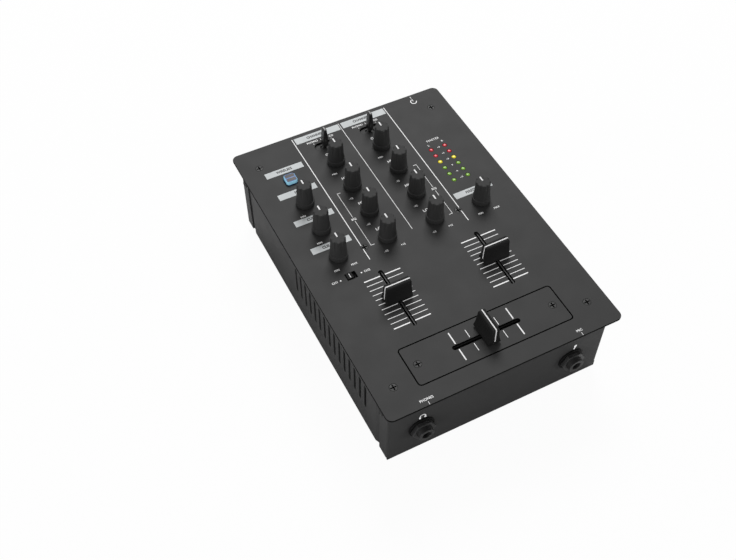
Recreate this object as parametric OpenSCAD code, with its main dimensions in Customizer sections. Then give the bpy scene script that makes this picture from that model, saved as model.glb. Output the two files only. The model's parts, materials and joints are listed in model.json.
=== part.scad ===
// A two channel disc jockey mixer. Twelve rotary controls, two source levers, a channel fader
// for each deck and a crossfader stand on a steel top plate. The case under it is a bent tray
// between a front and a rear panel, with the phones and microphone sockets in front and the
// phono sockets, supply inlet and power switch behind.
// The origin is on the surface that the feet stand on, under the middle of the top plate.
// X runs to the right, Y to the back and Z up. All sizes are in millimetres.

/* [Top plate] */
// Width of the top plate
plate_w = 170; // [160:1:220]
// Depth of the top plate, front to back
plate_d = 246; // [240:1:300]
// Thickness of the top plate
plate_t = 1.5; // [1.2:0.1:2]
// Height of the top plate's upper face
plate_top = 68; // [62:0.5:90]
// Corner radius of the top plate
plate_r = 4.5; // [2:0.5:8]
// Plate screws from the side edges of the plate
plate_screw_side = 14.2; // [12:0.1:16]
// Plate screws from the front edge of the plate
plate_screw_front = 20.8; // [18:0.1:22]
// Plate screws from the rear edge of the plate
plate_screw_rear = 19.2; // [18:0.1:22]
// Middle plate screws from the middle line
mid_screw_x = 36.6; // [34:0.1:40]

/* [Case] */
// How far the plate stands out over the case sides
side_overhang = 3.8; // [2:0.1:5]
// How far the plate stands out over the front and rear panels
end_overhang = 8.1; // [8:0.1:10]
// Thickness of the case sheet
sheet_t = 1; // [0.8:0.1:1.2]
// Depth of the side flanges of the front and rear panels
flange_d = 10.2; // [8:0.1:13]
// Gap between a side flange and the tray's side
flange_gap = 5; // [3:0.1:7]
// Number of vent slots in each side
vent_count = 15; // [6:1:16]
// Distance between vent slots
vent_pitch = 7.5; // [6:0.1:8]
// Width of a vent slot
vent_w = 2.8; // [1.5:0.1:4]
// Height of a vent slot
vent_h = 24; // [12:1:30]
// Middle of the row of vent slots, front to back
vent_mid_y = -32.2; // [-36:0.1:0]
// Diameter of a foot
foot_d = 14; // [10:1:18]
// Height of a foot
foot_h = 5; // [4:0.5:8]

/* [Rotary controls] */
// Distance between the columns of knobs
knob_col_pitch = 37; // [32:0.5:38]
// Distance between the rows of knobs
knob_row_pitch = 26.6; // [22:0.1:27]
// Front row of knobs, front to back
knob_row_y = 5; // [3:0.1:7]
// Knob diameter
knob_d = 14; // [12:0.1:17]
// Knob diameter at the top
knob_top_d = 10.4; // [9:0.1:12]
// Knob height
knob_h = 18.4; // [15:0.1:22]
// Diameter of a knob's shaft
shaft_d = 6; // [5:0.1:6.4]
// Flutes round a knob
flute_count = 12; // [8:1:18]

/* [Faders] */
// Channel faders from the middle line
fader_x = 36.8; // [30:0.1:40]
// Middle of the channel faders, front to back
fader_y = -43.1; // [-44:0.1:-38]
// Middle of the crossfader, front to back
crossfader_y = -94.2; // [-95:0.1:-93]
// Travel of a fader
fader_travel = 45; // [40:1:50]
// Width of a fader's slot in the plate
fader_slot_w = 3; // [2.4:0.1:3.4]
// Thickness of a fader lever
lever_t = 1.2; // [1:0.1:1.6]
// Width of a fader lever along the slot
lever_w = 3.2; // [3:0.1:3.6]
// Length of a fader cap across its slot
cap_w = 17.9; // [14:0.1:20]
// Length of a fader cap's foot along its slot
cap_base = 9; // [8:0.1:11]
// Length of a fader cap's ridge along its slot
cap_ridge = 3.8; // [3:0.1:5]
// Height of a fader cap
cap_h = 14.5; // [12:0.1:17]
// Width of the crossfader plate
crossplate_w = 111.8; // [108:0.1:116]
// Depth of the crossfader plate
crossplate_d = 28.8; // [27:0.1:29]

/* [Switches and lamps] */
// Source levers, front to back
source_y = 103.9; // [101:0.1:105]
// Swing of a source lever to each side, in degrees
source_swing = 18; // [12:1:20]
// Cue switch, front to back
cue_switch_y = -13.8; // [-16:0.1:-12]
// Travel of the cue switch
cue_travel = 2; // [1.5:0.1:2.2]
// Link button, front to back
link_y = 82.9; // [81:0.1:85]
// Side of the link button
link_w = 8.6; // [7:0.1:9]
// Middle of the level lamps from the middle line
lamp_x = 54.3; // [53:0.1:56]
// Distance between the two columns of lamps
lamp_gap_x = 11.3; // [9:0.1:12]
// Front lamp of each column, front to back
lamp_first_y = 30.6; // [28:0.1:32]
// Distance between the lamps of a column
lamp_pitch = 6.67; // [5:0.01:7]
// Lamp diameter
lamp_d = 3; // [2.8:0.1:3.2]

/* [Sockets] */
// Phones and microphone sockets from the middle line
jack_x = 56.6; // [50:0.1:60]
// Height of the phones and microphone sockets
jack_z = 29.3; // [27:0.1:33]
// Hole of a phones or microphone socket
jack_bore_d = 6.4; // [6.35:0.01:6.5]
// Barrel of a phones or microphone socket
jack_barrel_d = 11; // [10:0.1:12]
// Outside of a phono socket
rca_d = 8.3; // [8.2:0.01:8.4]
// Centre hole of a phono socket
rca_pin_d = 3.4; // [3.2:0.1:3.6]
// Height of the lower row of phono sockets
rca_low_z = 22; // [21:0.1:24]
// Distance between the two rows of phono sockets
rca_row_pitch = 14; // [13:0.1:15]
// Supply inlet from the middle line
inlet_x = 44; // [43:0.1:46]
// Power switch from the middle line
power_x = 62; // [60:0.1:64]

/* [Hidden] */
$fn = 48;

steel_black = "#434343";
plastic_black = "#1f1f1f";
board_green = "#2f5d3a";
nickel = "#b8b8b4";

// Clearances
fit = 0.05;        // a shaft in its hole, and a screw in its thread
free = 0.3;        // between pieces that move past each other
snug = 0.02;       // a knob or cap on its shaft
seam = 0.5;        // round the crossfader plate

// Case, worked out from the plate
plate_under = plate_top - plate_t;
case_w = plate_w - 2 * side_overhang;
case_d = plate_d - 2 * end_overhang;
floor_z = foot_h;                        // underside of the tray
lip_bottom = floor_z - sheet_t;          // underside of the front and rear panels
tab_gap = 0.1;
tab_outer = case_w / 2 - sheet_t - tab_gap;
bend_r = 1.5;
side_end_y = case_d / 2 - flange_d - flange_gap;
lip_d = 12;
ear_d = 17;
ear_w = 16;
ear_x = case_w / 2 - 11;
foot_x = case_w / 2 - 15;
foot_y = case_d / 2 - 23;

// Screws
screw_d = 3;
csk_d = 5.3;
csk_h = 1.2;
pan_d = 5.4;
pan_h = 1.7;
recess_l = 2.8;
recess_w = 0.7;
recess_h = 0.9;
plate_screw_len = 6;
plate_screws_at = [
    for (sx = [-1, 1]) [sx * (plate_w / 2 - plate_screw_side), -plate_d / 2 + plate_screw_front],
    for (sx = [-1, 1]) [sx * (plate_w / 2 - plate_screw_side), plate_d / 2 - plate_screw_rear],
    for (sx = [-1, 1]) [sx * mid_screw_x, knob_row_y - 0.9]
];
crossplate_screw_x = crossplate_w / 2 - 6.3;

// Boards
board_t = 1.6;
pillar_h = 10;
control_top = plate_under - pillar_h;
control_w = case_w - 12;
control_front = fader_y - 29;
control_rear = case_d / 2 - 5;
standoff_h = 5;
main_bottom = floor_z + sheet_t + standoff_h;
main_top = main_bottom + board_t;
main_w = case_w - 14;
main_front = -case_d / 2 + 22;
main_rear = case_d / 2 - 3;
standoffs_at = [for (sx = [-1, 1], y = [main_front + 10, 0, 78]) [sx * (main_w / 2 - 6), y]];
pillars_at = concat(
    [for (sx = [-1, 1]) [sx * mid_screw_x, knob_row_y - 0.9]],
    [for (sx = [-1, 1], y = [control_front + 5, 92]) [sx * (control_w / 2 - 5), y]]);
pillar_af = 5.5;

// Rotary controls
knob_bottom = plate_top + 0.8;
shaft_bottom = control_top + 1;
shaft_top = knob_bottom + 13;
shaft_flat = shaft_d / 2 - 1.5;
pot_w = 9.8;
pot_d = 11.3;
pot_h = 6.8;
pot_collar_d = shaft_d + 1.4;
pot_collar_h = 1.6;
pot_hole_d = shaft_d + 1.6;
col_x = [for (c = [-1.5, -0.5, 0.5, 1.5]) c * knob_col_pitch];
row_y = [for (r = [0:3]) knob_row_y + r * knob_row_pitch];
microphone_at = [col_x[0], row_y[2]];
cue_mix_at = [col_x[0], row_y[1]];
cue_level_at = [col_x[0], row_y[0]];
master_at = [col_x[3], row_y[0]];
knobs_at = concat([microphone_at, cue_mix_at, cue_level_at, master_at],
    [for (c = [1, 2], r = [0:3]) [col_x[c], row_y[r]]]);

// Faders: a frame stands on the control board's level, and its lever runs in it
frame_w = 9;
frame_h = 7.5;
frame_wall = 0.8;
frame_top = control_top + frame_h;
track_t = 1.3;
carriage_l = 10;
carriage_w = 6.8;
carriage_h = 3.6;
carriage_z = control_top + track_t + free;
frame_cavity_l = fader_travel + carriage_l + 1;
frame_l = frame_cavity_l + 8;
tab_l = 8;
stud_d = 3;
stud_collar_d = 5;
stud_x = frame_l / 2 + tab_l / 2;
nut_af = 5.5;
nut_h = 2.4;
lever_top = plate_top + 9;
cap_bottom = plate_top + 1;
fader_slot_l = fader_travel + lever_w + 1.1;
crossplate_r = 2;

// Switches and lamps
source_pivot_z = control_top + 3.5;
source_body = [13, 7, 9];
source_hub_d = 4.4;
source_hub_w = 3.6;
source_pin_d = 1.6;
source_paddle_d = 5.6;
source_paddle_top = plate_top + 18;
source_paddle_w = 6.2;
source_reach = (plate_top + 2 - source_pivot_z) * sin(source_swing);
source_hole_l = 2 * (source_paddle_w / 2 * cos(source_swing) + source_reach + 1.7);
source_hole_w = 7.4;
cue_body = [12, 6.4, 8.5];
cue_cap = [4.4, 4.7];
cue_cap_top = plate_top + 0.9;
cue_hole = [cue_cap[0] + cue_travel + 1, 5.5];
link_body = [8, 8, 6];
link_stem_d = 4.4;
link_travel = 0.8;
link_top = plate_top + 3;
link_bottom = control_top + link_body[2] + link_travel + 0.7;
link_stem_bottom = control_top + 1.5 + link_travel + free;
lamp_top = plate_top + 0.9;
lamp_columns = [lamp_x - lamp_gap_x / 2, lamp_x + lamp_gap_x / 2];

// Front sockets
front_face = -case_d / 2;
rear_face = case_d / 2;
jack_body = [16, 26, 16];
jack_front = front_face - 7.6;
jack_depth = 32;
jack_washer_d = 18.6;
jack_washer_t = 1.4;
jack_nut_af = 15.2;
jack_nut_h = 2.8;

// Rear sockets
rca_columns = [-64, -48, -24, -8, 12, 28];
rca_high_z = rca_low_z + rca_row_pitch;
rca_block = [12, 12];
rca_block_top = rca_high_z + 15.5;
rca_front = rear_face + end_overhang - 0.3;
rca_shell_wall = 0.45;
rca_collar_d = 10.8;
rca_collar_t = 1.2;
rca_root_d = rca_d + 0.4;     // shoulder of the shell, in the panel and the collar
rca_hole_d = rca_root_d + 0.4;
rca_screw_z = rca_high_z + 11;
ground_x = -36;
ground_z = rca_high_z + 10;
ground_d = 4;
ground_washer_d = 9;
ground_washer_t = 0.8;
ground_nut_d = 8.6;
ground_nut_t = 5.2;
inlet_body = [9, 14, 11];
inlet_axis_z = main_top + 6;
inlet_proud = 0.4;
inlet_bore_d = 6.2;
inlet_bore_l = 9.5;
inlet_pin_d = 2;
power_z = 34;
power_neck = [12.8, 18.8];
power_bezel = [15, 21];
power_bezel_t = 1.8;
power_window = [9.4, 16.6];
power_body_l = 12;
power_pivot_y = rear_face - 4;
power_pin_d = 1.8;
power_tilt = 7;
rocker_w = power_window[0] - 2 * free;

// Inner lead
header = [22, 6, 8];
header_top_y = 60;
header_low_y = 30;
ribbon_w = 18;
ribbon_t = 1;
ribbon_bend_r = 5;

// ---- Shared shapes ----

module rounded_rect(w, d, r) {
    square([w - 2 * r, d], center = true);
    square([w, d - 2 * r], center = true);
    for (sx = [-1, 1], sy = [-1, 1])
        translate([sx * (w / 2 - r), sy * (d / 2 - r)]) circle(r);
}

// A slot with round ends, along X
module slot_2d(l, w) {
    square([l - w, w], center = true);
    for (s = [-1, 1]) translate([s * (l - w) / 2, 0]) circle(w / 2);
}

module block(size) {
    translate([-size[0] / 2, -size[1] / 2, 0]) cube(size);
}

module at_points(points, z = 0) {
    for (p = points) translate([p[0], p[1], z]) children();
}

// A hexagonal prism of a given width across its flats
module hex(af, h) {
    cylinder(h = h, d = af / cos(30), $fn = 6);
}

// Turns a shape that points up so that it points to the front or to the back
module facing_front() { rotate([90, 0, 0]) children(); }
module facing_rear() { rotate([-90, 0, 0]) children(); }

module cross_recess(depth) {
    for (a = [0, 90])
        rotate([0, 0, a]) translate([-recess_l / 2, -recess_w / 2, -depth])
            cube([recess_l, recess_w, depth + 1]);
}

// A countersunk screw, its head flush at z = 0
module flush_screw(len) {
    difference() {
        union() {
            translate([0, 0, -csk_h]) cylinder(h = csk_h, d1 = screw_d, d2 = csk_d);
            translate([0, 0, -len]) cylinder(h = len - csk_h, d = screw_d);
        }
        cross_recess(recess_h);
    }
}

// A pan head screw, the underside of its head at z = 0
module pan_screw(len) {
    difference() {
        union() {
            cylinder(h = pan_h * 0.6, d = pan_d);
            translate([0, 0, pan_h * 0.6]) cylinder(h = pan_h * 0.4, d1 = pan_d, d2 = pan_d * 0.7);
            translate([0, 0, -len]) cylinder(h = len, d = screw_d);
        }
        translate([0, 0, pan_h]) cross_recess(recess_h);
    }
}

// The hole that a countersunk screw sits in, cut down from z = 0
module flush_hole(through) {
    translate([0, 0, -csk_h - fit]) cylinder(h = csk_h + fit, d1 = screw_d + 2 * fit, d2 = csk_d + 4 * fit);
    translate([0, 0, -through]) cylinder(h = through, d = screw_d + 2 * fit);
}

// ---- Top plate ----

module fader_slots_2d() {
    for (sx = [-1, 1]) translate([sx * fader_x, fader_y]) rotate(90) slot_2d(fader_slot_l, fader_slot_w);
}

module lamp_points(rows) {
    for (x = lamp_columns, r = rows) translate([x, lamp_first_y + r * lamp_pitch]) children();
}

module top_plate() {
    tab = [19, 16, 1.5];
    color(steel_black) {
        difference() {
            translate([0, 0, plate_under]) linear_extrude(plate_t) difference() {
                rounded_rect(plate_w, plate_d, plate_r);
                for (p = knobs_at) translate(p) circle(d = pot_hole_d);
                fader_slots_2d();
                translate([0, crossfader_y])
                    rounded_rect(crossplate_w + 2 * seam, crossplate_d + 2 * seam, crossplate_r + seam);
                for (sx = [-1, 1]) translate([sx * knob_col_pitch / 2, source_y])
                    slot_2d(source_hole_l, source_hole_w);
                translate([col_x[0], cue_switch_y]) square(cue_hole, center = true);
                translate([col_x[0], link_y])
                    rounded_rect(link_w + 2 * free, link_w + 2 * free, 2 + free);
                lamp_points([0:5]) circle(d = lamp_d + 4 * fit);
            }
            at_points(plate_screws_at, plate_top) flush_hole(plate_t + 1);
        }
        // Tabs welded under the plate, which carry the crossfader plate
        for (sx = [-1, 1])
            translate([sx * (crossplate_screw_x + 2.5), crossfader_y, plate_under - tab[2]]) difference() {
                block(tab);
                translate([-sx * 2.5, 0, -1]) cylinder(h = tab[2] + 2, d = screw_d + 2 * fit);
            }
    }
}

module crossfader_plate() {
    color(steel_black) {
        difference() {
            translate([0, crossfader_y, plate_under]) linear_extrude(plate_t) difference() {
                rounded_rect(crossplate_w, crossplate_d, crossplate_r);
                slot_2d(fader_slot_l, fader_slot_w);
            }
            for (sx = [-1, 1])
                translate([sx * crossplate_screw_x, crossfader_y, plate_top]) flush_hole(plate_t + 1);
        }
        // Weld studs that hold the crossfader frame
        for (sx = [-1, 1]) translate([sx * stud_x, crossfader_y, 0]) {
            translate([0, 0, frame_top]) cylinder(h = plate_under - frame_top, d = stud_collar_d);
            translate([0, 0, frame_top - 4.5]) cylinder(h = 4.5, d = stud_d);
        }
    }
}

module crossfader_nuts() {
    color(nickel) for (sx = [-1, 1])
        translate([sx * stud_x, crossfader_y, frame_top - frame_wall - nut_h]) difference() {
            hex(nut_af, nut_h);
            translate([0, 0, -1]) cylinder(h = nut_h + 2, d = stud_d + 2 * fit);
        }
}

module plate_screws() {
    color(plastic_black) {
        at_points(plate_screws_at, plate_top) flush_screw(plate_screw_len);
        for (sx = [-1, 1])
            translate([sx * crossplate_screw_x, crossfader_y, plate_top]) flush_screw(plate_screw_len);
    }
}

// ---- Case ----

// The plan of a face with a flange at each side, its outer face at y = 0 and its flanges to +Y
module wrap_2d() {
    difference() {
        union() {
            translate([-case_w / 2, bend_r]) square([case_w, flange_d - bend_r]);
            translate([-case_w / 2 + bend_r, 0]) square([case_w - 2 * bend_r, bend_r + 1]);
            for (sx = [-1, 1]) translate([sx * (case_w / 2 - bend_r), bend_r]) circle(bend_r);
        }
        translate([-case_w / 2 + sheet_t, sheet_t]) square([case_w - 2 * sheet_t, flange_d]);
    }
}

// A front or rear panel, its outer face at y = 0 and facing -Y, before its holes
module end_panel(screw_in) {
    flange_bottom = floor_z + 1.3;
    difference() {
        union() {
            translate([0, 0, flange_bottom]) linear_extrude(plate_under - flange_bottom) wrap_2d();
            translate([-case_w / 2 + 0.5, 0, lip_bottom]) cube([case_w - 1, sheet_t, 5]);
            translate([-case_w / 2 + 3, 0, lip_bottom]) cube([case_w - 6, lip_d, sheet_t]);
            for (sx = [-1, 1])
                translate([sx * ear_x - ear_w / 2, sheet_t / 2, plate_under - sheet_t])
                    cube([ear_w, ear_d - sheet_t / 2, sheet_t]);
        }
        for (sx = [-1, 1]) {
            translate([sx * (plate_w / 2 - plate_screw_side), screw_in, plate_under - 2])
                cylinder(h = 4, d = screw_d + 2 * fit);
            translate([sx * case_w / 2, 8, side_screw_z]) rotate([0, 90, 0])
                cylinder(h = 6, d = screw_d + 2 * fit, center = true);
        }
        for (x = lip_screw_x) translate([x, lip_screw_in, lip_bottom - 1])
            cylinder(h = 4, d = screw_d + 2 * fit);
    }
}
side_screw_z = plate_under - 12.5;
lip_screw_x = [-60, 0, 60];
lip_screw_in = 7;

module front_panel() {
    color(steel_black) difference() {
        translate([0, front_face, 0]) end_panel(plate_screw_front - end_overhang);
        for (sx = [-1, 1]) translate([sx * jack_x, front_face + 5, jack_z])
            facing_front() cylinder(h = 10, d = jack_barrel_d + 0.3);
    }
}

module rear_panel() {
    color(steel_black) difference() {
        translate([0, rear_face, 0]) mirror([0, 1, 0]) end_panel(plate_screw_rear - end_overhang);
        for (x = rca_columns) {
            for (z = [rca_low_z, rca_high_z]) translate([x, rear_face - 5, z])
                facing_rear() cylinder(h = 10, d = rca_hole_d);
            translate([x, rear_face - 5, rca_screw_z])
                facing_rear() cylinder(h = 10, d = screw_d + 2 * fit);
        }
        translate([ground_x, rear_face - 5, ground_z])
            facing_rear() cylinder(h = 10, d = ground_d + 2 * fit);
        translate([inlet_x - inlet_body[0] / 2 - 0.2, rear_face - 3, main_top - 0.2])
            cube([inlet_body[0] + 0.4, 6, inlet_body[2] + 0.4]);
        translate([power_x - power_neck[0] / 2 - 0.2, rear_face - 3, power_z - power_neck[1] / 2 - 0.2])
            cube([power_neck[0] + 0.4, 6, power_neck[1] + 0.4]);
    }
}

// Cross-section of the tray, open at the top
module tray_2d(outer, height) {
    difference() {
        union() {
            translate([-outer + bend_r, 0]) square([2 * (outer - bend_r), height]);
            translate([-outer, bend_r]) square([2 * outer, height - bend_r]);
            for (sx = [-1, 1]) translate([sx * (outer - bend_r), bend_r]) circle(bend_r);
        }
        translate([-outer + sheet_t, sheet_t]) square([2 * (outer - sheet_t), height]);
    }
}

module tray_length(outer, l) {
    translate([0, l / 2, floor_z])
        rotate([90, 0, 0]) linear_extrude(l) tray_2d(outer, plate_under - floor_z);
}

module bottom_tray() {
    end_y = case_d / 2 - sheet_t - 0.1;
    step = tab_outer - sheet_t;
    color(steel_black) difference() {
        union() {
            tray_length(case_w / 2, 2 * side_end_y);
            tray_length(tab_outer, 2 * end_y);
            // The joggle that joins each side to the tabs behind the flanges
            for (sx = [-1, 1], sy = [-1, 1])
                translate([sx > 0 ? step : -case_w / 2, sy > 0 ? side_end_y - sheet_t : -side_end_y,
                           floor_z + bend_r])
                    cube([case_w / 2 - step, sheet_t, plate_under - floor_z - bend_r]);
        }
        // The tabs stop at the joggle, so the sides are a single sheet
        for (sx = [-1, 1])
            translate([sx > 0 ? step - 0.5 : -case_w / 2 + sheet_t,
                       -side_end_y + sheet_t, floor_z + sheet_t])
                cube([case_w / 2 - sheet_t - step + 0.5, 2 * (side_end_y - sheet_t), plate_top]);
        for (k = [0:vent_count - 1])
            translate([0, vent_mid_y + (k - (vent_count - 1) / 2) * vent_pitch, vent_mid_z])
                rotate([90, 0, 90]) linear_extrude(case_w + 10, center = true)
                    rotate(90) slot_2d(vent_h, vent_w);
        for (sx = [-1, 1], sy = [-1, 1]) {
            translate([sx * case_w / 2, sy * (case_d / 2 - 8), side_screw_z]) rotate([0, 90, 0])
                cylinder(h = 8, d = screw_d + 2 * fit, center = true);
            translate([sx * foot_x, sy * foot_y, floor_z - 1]) cylinder(h = 4, d = screw_d + 2 * fit);
            for (x = lip_screw_x) translate([x, sy * (case_d / 2 - lip_screw_in), floor_z - 1])
                cylinder(h = 4, d = screw_d + 2 * fit);
        }
    }
}
vent_mid_z = plate_top - 29;

module feet() {
    color(plastic_black) for (sx = [-1, 1], sy = [-1, 1]) translate([sx * foot_x, sy * foot_y, 0])
        difference() {
            union() {
                cylinder(h = 1, d1 = foot_d - 2, d2 = foot_d);
                translate([0, 0, 1]) cylinder(h = foot_h - 1, d = foot_d);
            }
            translate([0, 0, -1]) cylinder(h = 1 + foot_h - 2, d = pan_d + 1);
            translate([0, 0, -1]) cylinder(h = foot_h + 2, d = screw_d + 2 * fit);
        }
}

module case_screws() {
    color(plastic_black) {
        for (sx = [-1, 1], sy = [-1, 1]) {
            translate([sx * case_w / 2, sy * (case_d / 2 - 8), side_screw_z])
                rotate([0, sx * 90, 0]) pan_screw(5);
            translate([sx * foot_x, sy * foot_y, foot_h - 2]) rotate([180, 0, 0]) pan_screw(5);
            for (x = lip_screw_x) translate([x, sy * (case_d / 2 - lip_screw_in), lip_bottom])
                rotate([180, 0, 0]) pan_screw(4.5);
        }
        for (x = rca_columns) translate([x, rear_face, rca_screw_z]) facing_rear() pan_screw(6);
        at_points(standoffs_at, main_top) pan_screw(5);
        at_points(pillars_at, control_top - board_t) rotate([180, 0, 0]) pan_screw(5);
    }
}

// ---- Boards ----

module plate_pillars() {
    color(nickel) at_points(pillars_at, control_top) difference() {
        hex(pillar_af, pillar_h);
        translate([0, 0, -1]) cylinder(h = pillar_h + 2, d = screw_d + 2 * fit);
    }
}

module control_board() {
    color(board_green) translate([0, 0, control_top - board_t]) linear_extrude(board_t) difference() {
        translate([-control_w / 2, control_front]) square([control_w, control_rear - control_front]);
        for (p = pillars_at) translate(p) circle(d = screw_d + 2 * fit);
    }
}

module main_board() {
    color(board_green) translate([0, 0, main_bottom]) linear_extrude(board_t) difference() {
        translate([-main_w / 2, main_front]) square([main_w, main_rear - main_front]);
        for (p = standoffs_at) translate(p) circle(d = screw_d + 2 * fit);
    }
}

module board_standoffs() {
    color(nickel) at_points(standoffs_at, floor_z + sheet_t) difference() {
        cylinder(h = standoff_h, d = 6);
        translate([0, 0, -1]) cylinder(h = standoff_h + 2, d = screw_d + 2 * fit);
    }
}

// Smoothing capacitors and amplifier chips
module board_parts() {
    color(plastic_black) {
        for (x = [36, 48, 60], y = [58, 72]) translate([x, y, main_top]) cylinder(h = 13, d = 8);
        for (x = [-52, -32, 32, 52], y = [-30, 0]) translate([x, y, main_top]) block([6.4, 10, 3.4]);
    }
}

module wireless_module() {
    color(nickel) translate([-40, 62, main_top]) {
        block([16, 26, 1]);
        translate([0, -4, 1]) block([13, 14, 2.4]);
    }
}

module board_connectors() {
    color("white") {
        translate([0, header_top_y, control_top - board_t - header[2]]) block(header);
        translate([0, header_low_y, main_top]) block(header);
    }
}

// An S-shaped flat lead from the upper header down to the lower one, in the YZ plane
module ribbon_cable() {
    z_high = control_top - board_t - header[2];
    z_low = main_top + header[2];
    z_mid = (z_high + z_low) / 2;
    turns = [for (i = [0:6]) i * 15];
    function path(r_high, r_low) = concat(
        [[header_top_y - ribbon_bend_r + r_high, z_high]],
        [for (a = turns) [header_top_y - ribbon_bend_r + r_high * cos(a),
                          z_mid + ribbon_bend_r - r_high * sin(a)]],
        [for (a = turns) [header_low_y + ribbon_bend_r - r_low * sin(a),
                          z_mid - ribbon_bend_r + r_low * cos(a)]],
        [[header_low_y + ribbon_bend_r - r_low, z_low]]);
    outer = path(ribbon_bend_r + ribbon_t / 2, ribbon_bend_r - ribbon_t / 2);
    inner = path(ribbon_bend_r - ribbon_t / 2, ribbon_bend_r + ribbon_t / 2);
    n = len(inner);
    color("grey") rotate([90, 0, 90]) linear_extrude(ribbon_w, center = true)
        polygon(concat(outer, [for (i = [n - 1:-1:0]) inner[i]]));
}

// ---- Rotary controls ----

module pot_bodies() {
    color("#5a5a58") at_points(knobs_at, control_top) difference() {
        union() {
            block([pot_w, pot_d, pot_h]);
            cylinder(h = pot_h + pot_collar_h, d = pot_collar_d);
        }
        translate([0, 0, shaft_bottom - control_top - free])
            cylinder(h = pot_h + pot_collar_h, d = shaft_d + 2 * fit);
    }
}

// A round with a flat, for a shaft or for the hole it fits
module flatted(d, flat, h) {
    intersection() {
        cylinder(h = h, d = d);
        translate([-d, -d, 0]) cube([2 * d, d + flat, h]);
    }
}

// Outline of a knob: a rounded foot, a ring groove, a tapering grip and a dished top
module knob_outline() {
    r = knob_d / 2;
    rt = knob_top_d / 2;
    polygon([[0, 0], [r - 1.1, 0], [r - 0.5, 0.5], [r - 0.12, 1.6], [r, 2.8], [r - 0.03, 4.2],
             [r - 0.35, 4.3], [r - 0.35, 4.6], [r - 0.1, 4.75], [r - 0.5, 7.4],
             [(r + rt) / 2 - 0.1, knob_h * 0.62], [rt + 0.1, knob_h - 0.5], [rt - 0.3, knob_h],
             [rt - 0.9, knob_h - 0.1], [rt - 1.4, knob_h - 0.6], [0, knob_h - 0.9]]);
}

module knob_at(p) {
    color(plastic_black) translate([p[0], p[1], 0]) {
        difference() {
            translate([0, 0, knob_bottom]) rotate_extrude() knob_outline();
            translate([0, 0, knob_bottom - 1])
                cylinder(h = shaft_flat_z + snug - knob_bottom + 1, d = shaft_d + 2 * snug);
            translate([0, 0, shaft_flat_z])
                flatted(shaft_d + 2 * snug, shaft_flat + snug, shaft_top + snug - shaft_flat_z);
            for (k = [0:flute_count - 1]) rotate([0, 0, (k + 0.5) * 360 / flute_count])
                translate([0, knob_d / 2 + flute_off, knob_bottom + flute_low])
                    rotate([flute_lean, 0, 0]) cylinder(h = knob_h, d = flute_d, $fn = 24);
        }
        // The shaft, which turns with the knob
        translate([0, 0, shaft_bottom]) cylinder(h = shaft_flat_z - shaft_bottom, d = shaft_d);
        translate([0, 0, shaft_flat_z]) flatted(shaft_d, shaft_flat, shaft_top - shaft_flat_z);
    }
}
shaft_flat_z = knob_bottom + 4;
flute_low = 6;          // where the flutes start, above the knob's foot
flute_d = 2;
flute_off = 0.55;       // from the knob's side out to the middle of a flute's foot
flute_lean = atan2((knob_d - knob_top_d) / 2 + 0.3, knob_h - flute_low);

module microphone_knob() { knob_at(microphone_at); }
module cue_mix_knob() { knob_at(cue_mix_at); }
module cue_level_knob() { knob_at(cue_level_at); }
module channel_1_gain_knob() { knob_at([col_x[1], row_y[3]]); }
module channel_1_high_knob() { knob_at([col_x[1], row_y[2]]); }
module channel_1_mid_knob() { knob_at([col_x[1], row_y[1]]); }
module channel_1_low_knob() { knob_at([col_x[1], row_y[0]]); }
module channel_2_gain_knob() { knob_at([col_x[2], row_y[3]]); }
module channel_2_high_knob() { knob_at([col_x[2], row_y[2]]); }
module channel_2_mid_knob() { knob_at([col_x[2], row_y[1]]); }
module channel_2_low_knob() { knob_at([col_x[2], row_y[0]]); }
module master_knob() { knob_at(master_at); }

// ---- Faders ----

// Puts a fader, drawn along X about the origin, in its place
module in_channel(sx) { translate([sx * fader_x, fader_y, 0]) rotate([0, 0, 90]) children(); }
module in_crossfader() { translate([0, crossfader_y, 0]) children(); }

module fader_frame() {
    color(nickel) difference() {
        union() {
            translate([0, 0, control_top]) block([frame_l, frame_w, frame_h]);
            translate([0, 0, frame_top - frame_wall]) block([frame_l + 2 * tab_l, frame_w, frame_wall]);
        }
        translate([0, 0, control_top - 1])
            block([frame_cavity_l, frame_w - 2 * frame_wall, frame_h - frame_wall + 1]);
        translate([0, 0, control_top])
            block([fader_travel + lever_w + 2, lever_t + 1.2, frame_h + 1]);
        for (sx = [-1, 1]) translate([sx * stud_x, 0, control_top])
            cylinder(h = frame_h + 1, d = stud_d + 2 * fit);
    }
    // The resistive track, pressed into the frame's open underside
    color("#8a5a2b") translate([0, 0, control_top])
        block([frame_cavity_l - 0.1, frame_w - 2 * frame_wall - 0.1, track_t]);
}

module fader_frames() {
    for (sx = [-1, 1]) in_channel(sx) fader_frame();
    in_crossfader() fader_frame();
}

module fader_lever() {
    color(nickel) {
        translate([0, 0, carriage_z]) block([carriage_l, carriage_w, carriage_h]);
        translate([0, 0, carriage_z + carriage_h])
            block([lever_w, lever_t, lever_top - carriage_z - carriage_h]);
    }
}
module channel_1_fader_lever() { in_channel(-1) fader_lever(); }
module channel_2_fader_lever() { in_channel(1) fader_lever(); }
module crossfader_lever() { in_crossfader() fader_lever(); }

// Side view of a fader cap: an upright foot, sides that curve in, and a rounded ridge
module cap_outline() {
    foot = cap_base / 2;
    ridge = cap_ridge / 2;
    foot_h = 1.6;
    ridge_r = 0.6;
    rise = cap_h - foot_h - ridge_r;
    side = [for (i = [0:8]) let (t = i / 8) [ridge + (foot - ridge) * pow(1 - t, 2.2), foot_h + rise * t]];
    right = concat([[foot, 0]], side, [[ridge - ridge_r, cap_h]]);
    n = len(right);
    polygon(concat(right, [for (i = [n - 1:-1:0]) [-right[i][0], right[i][1]]]));
}

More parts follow.
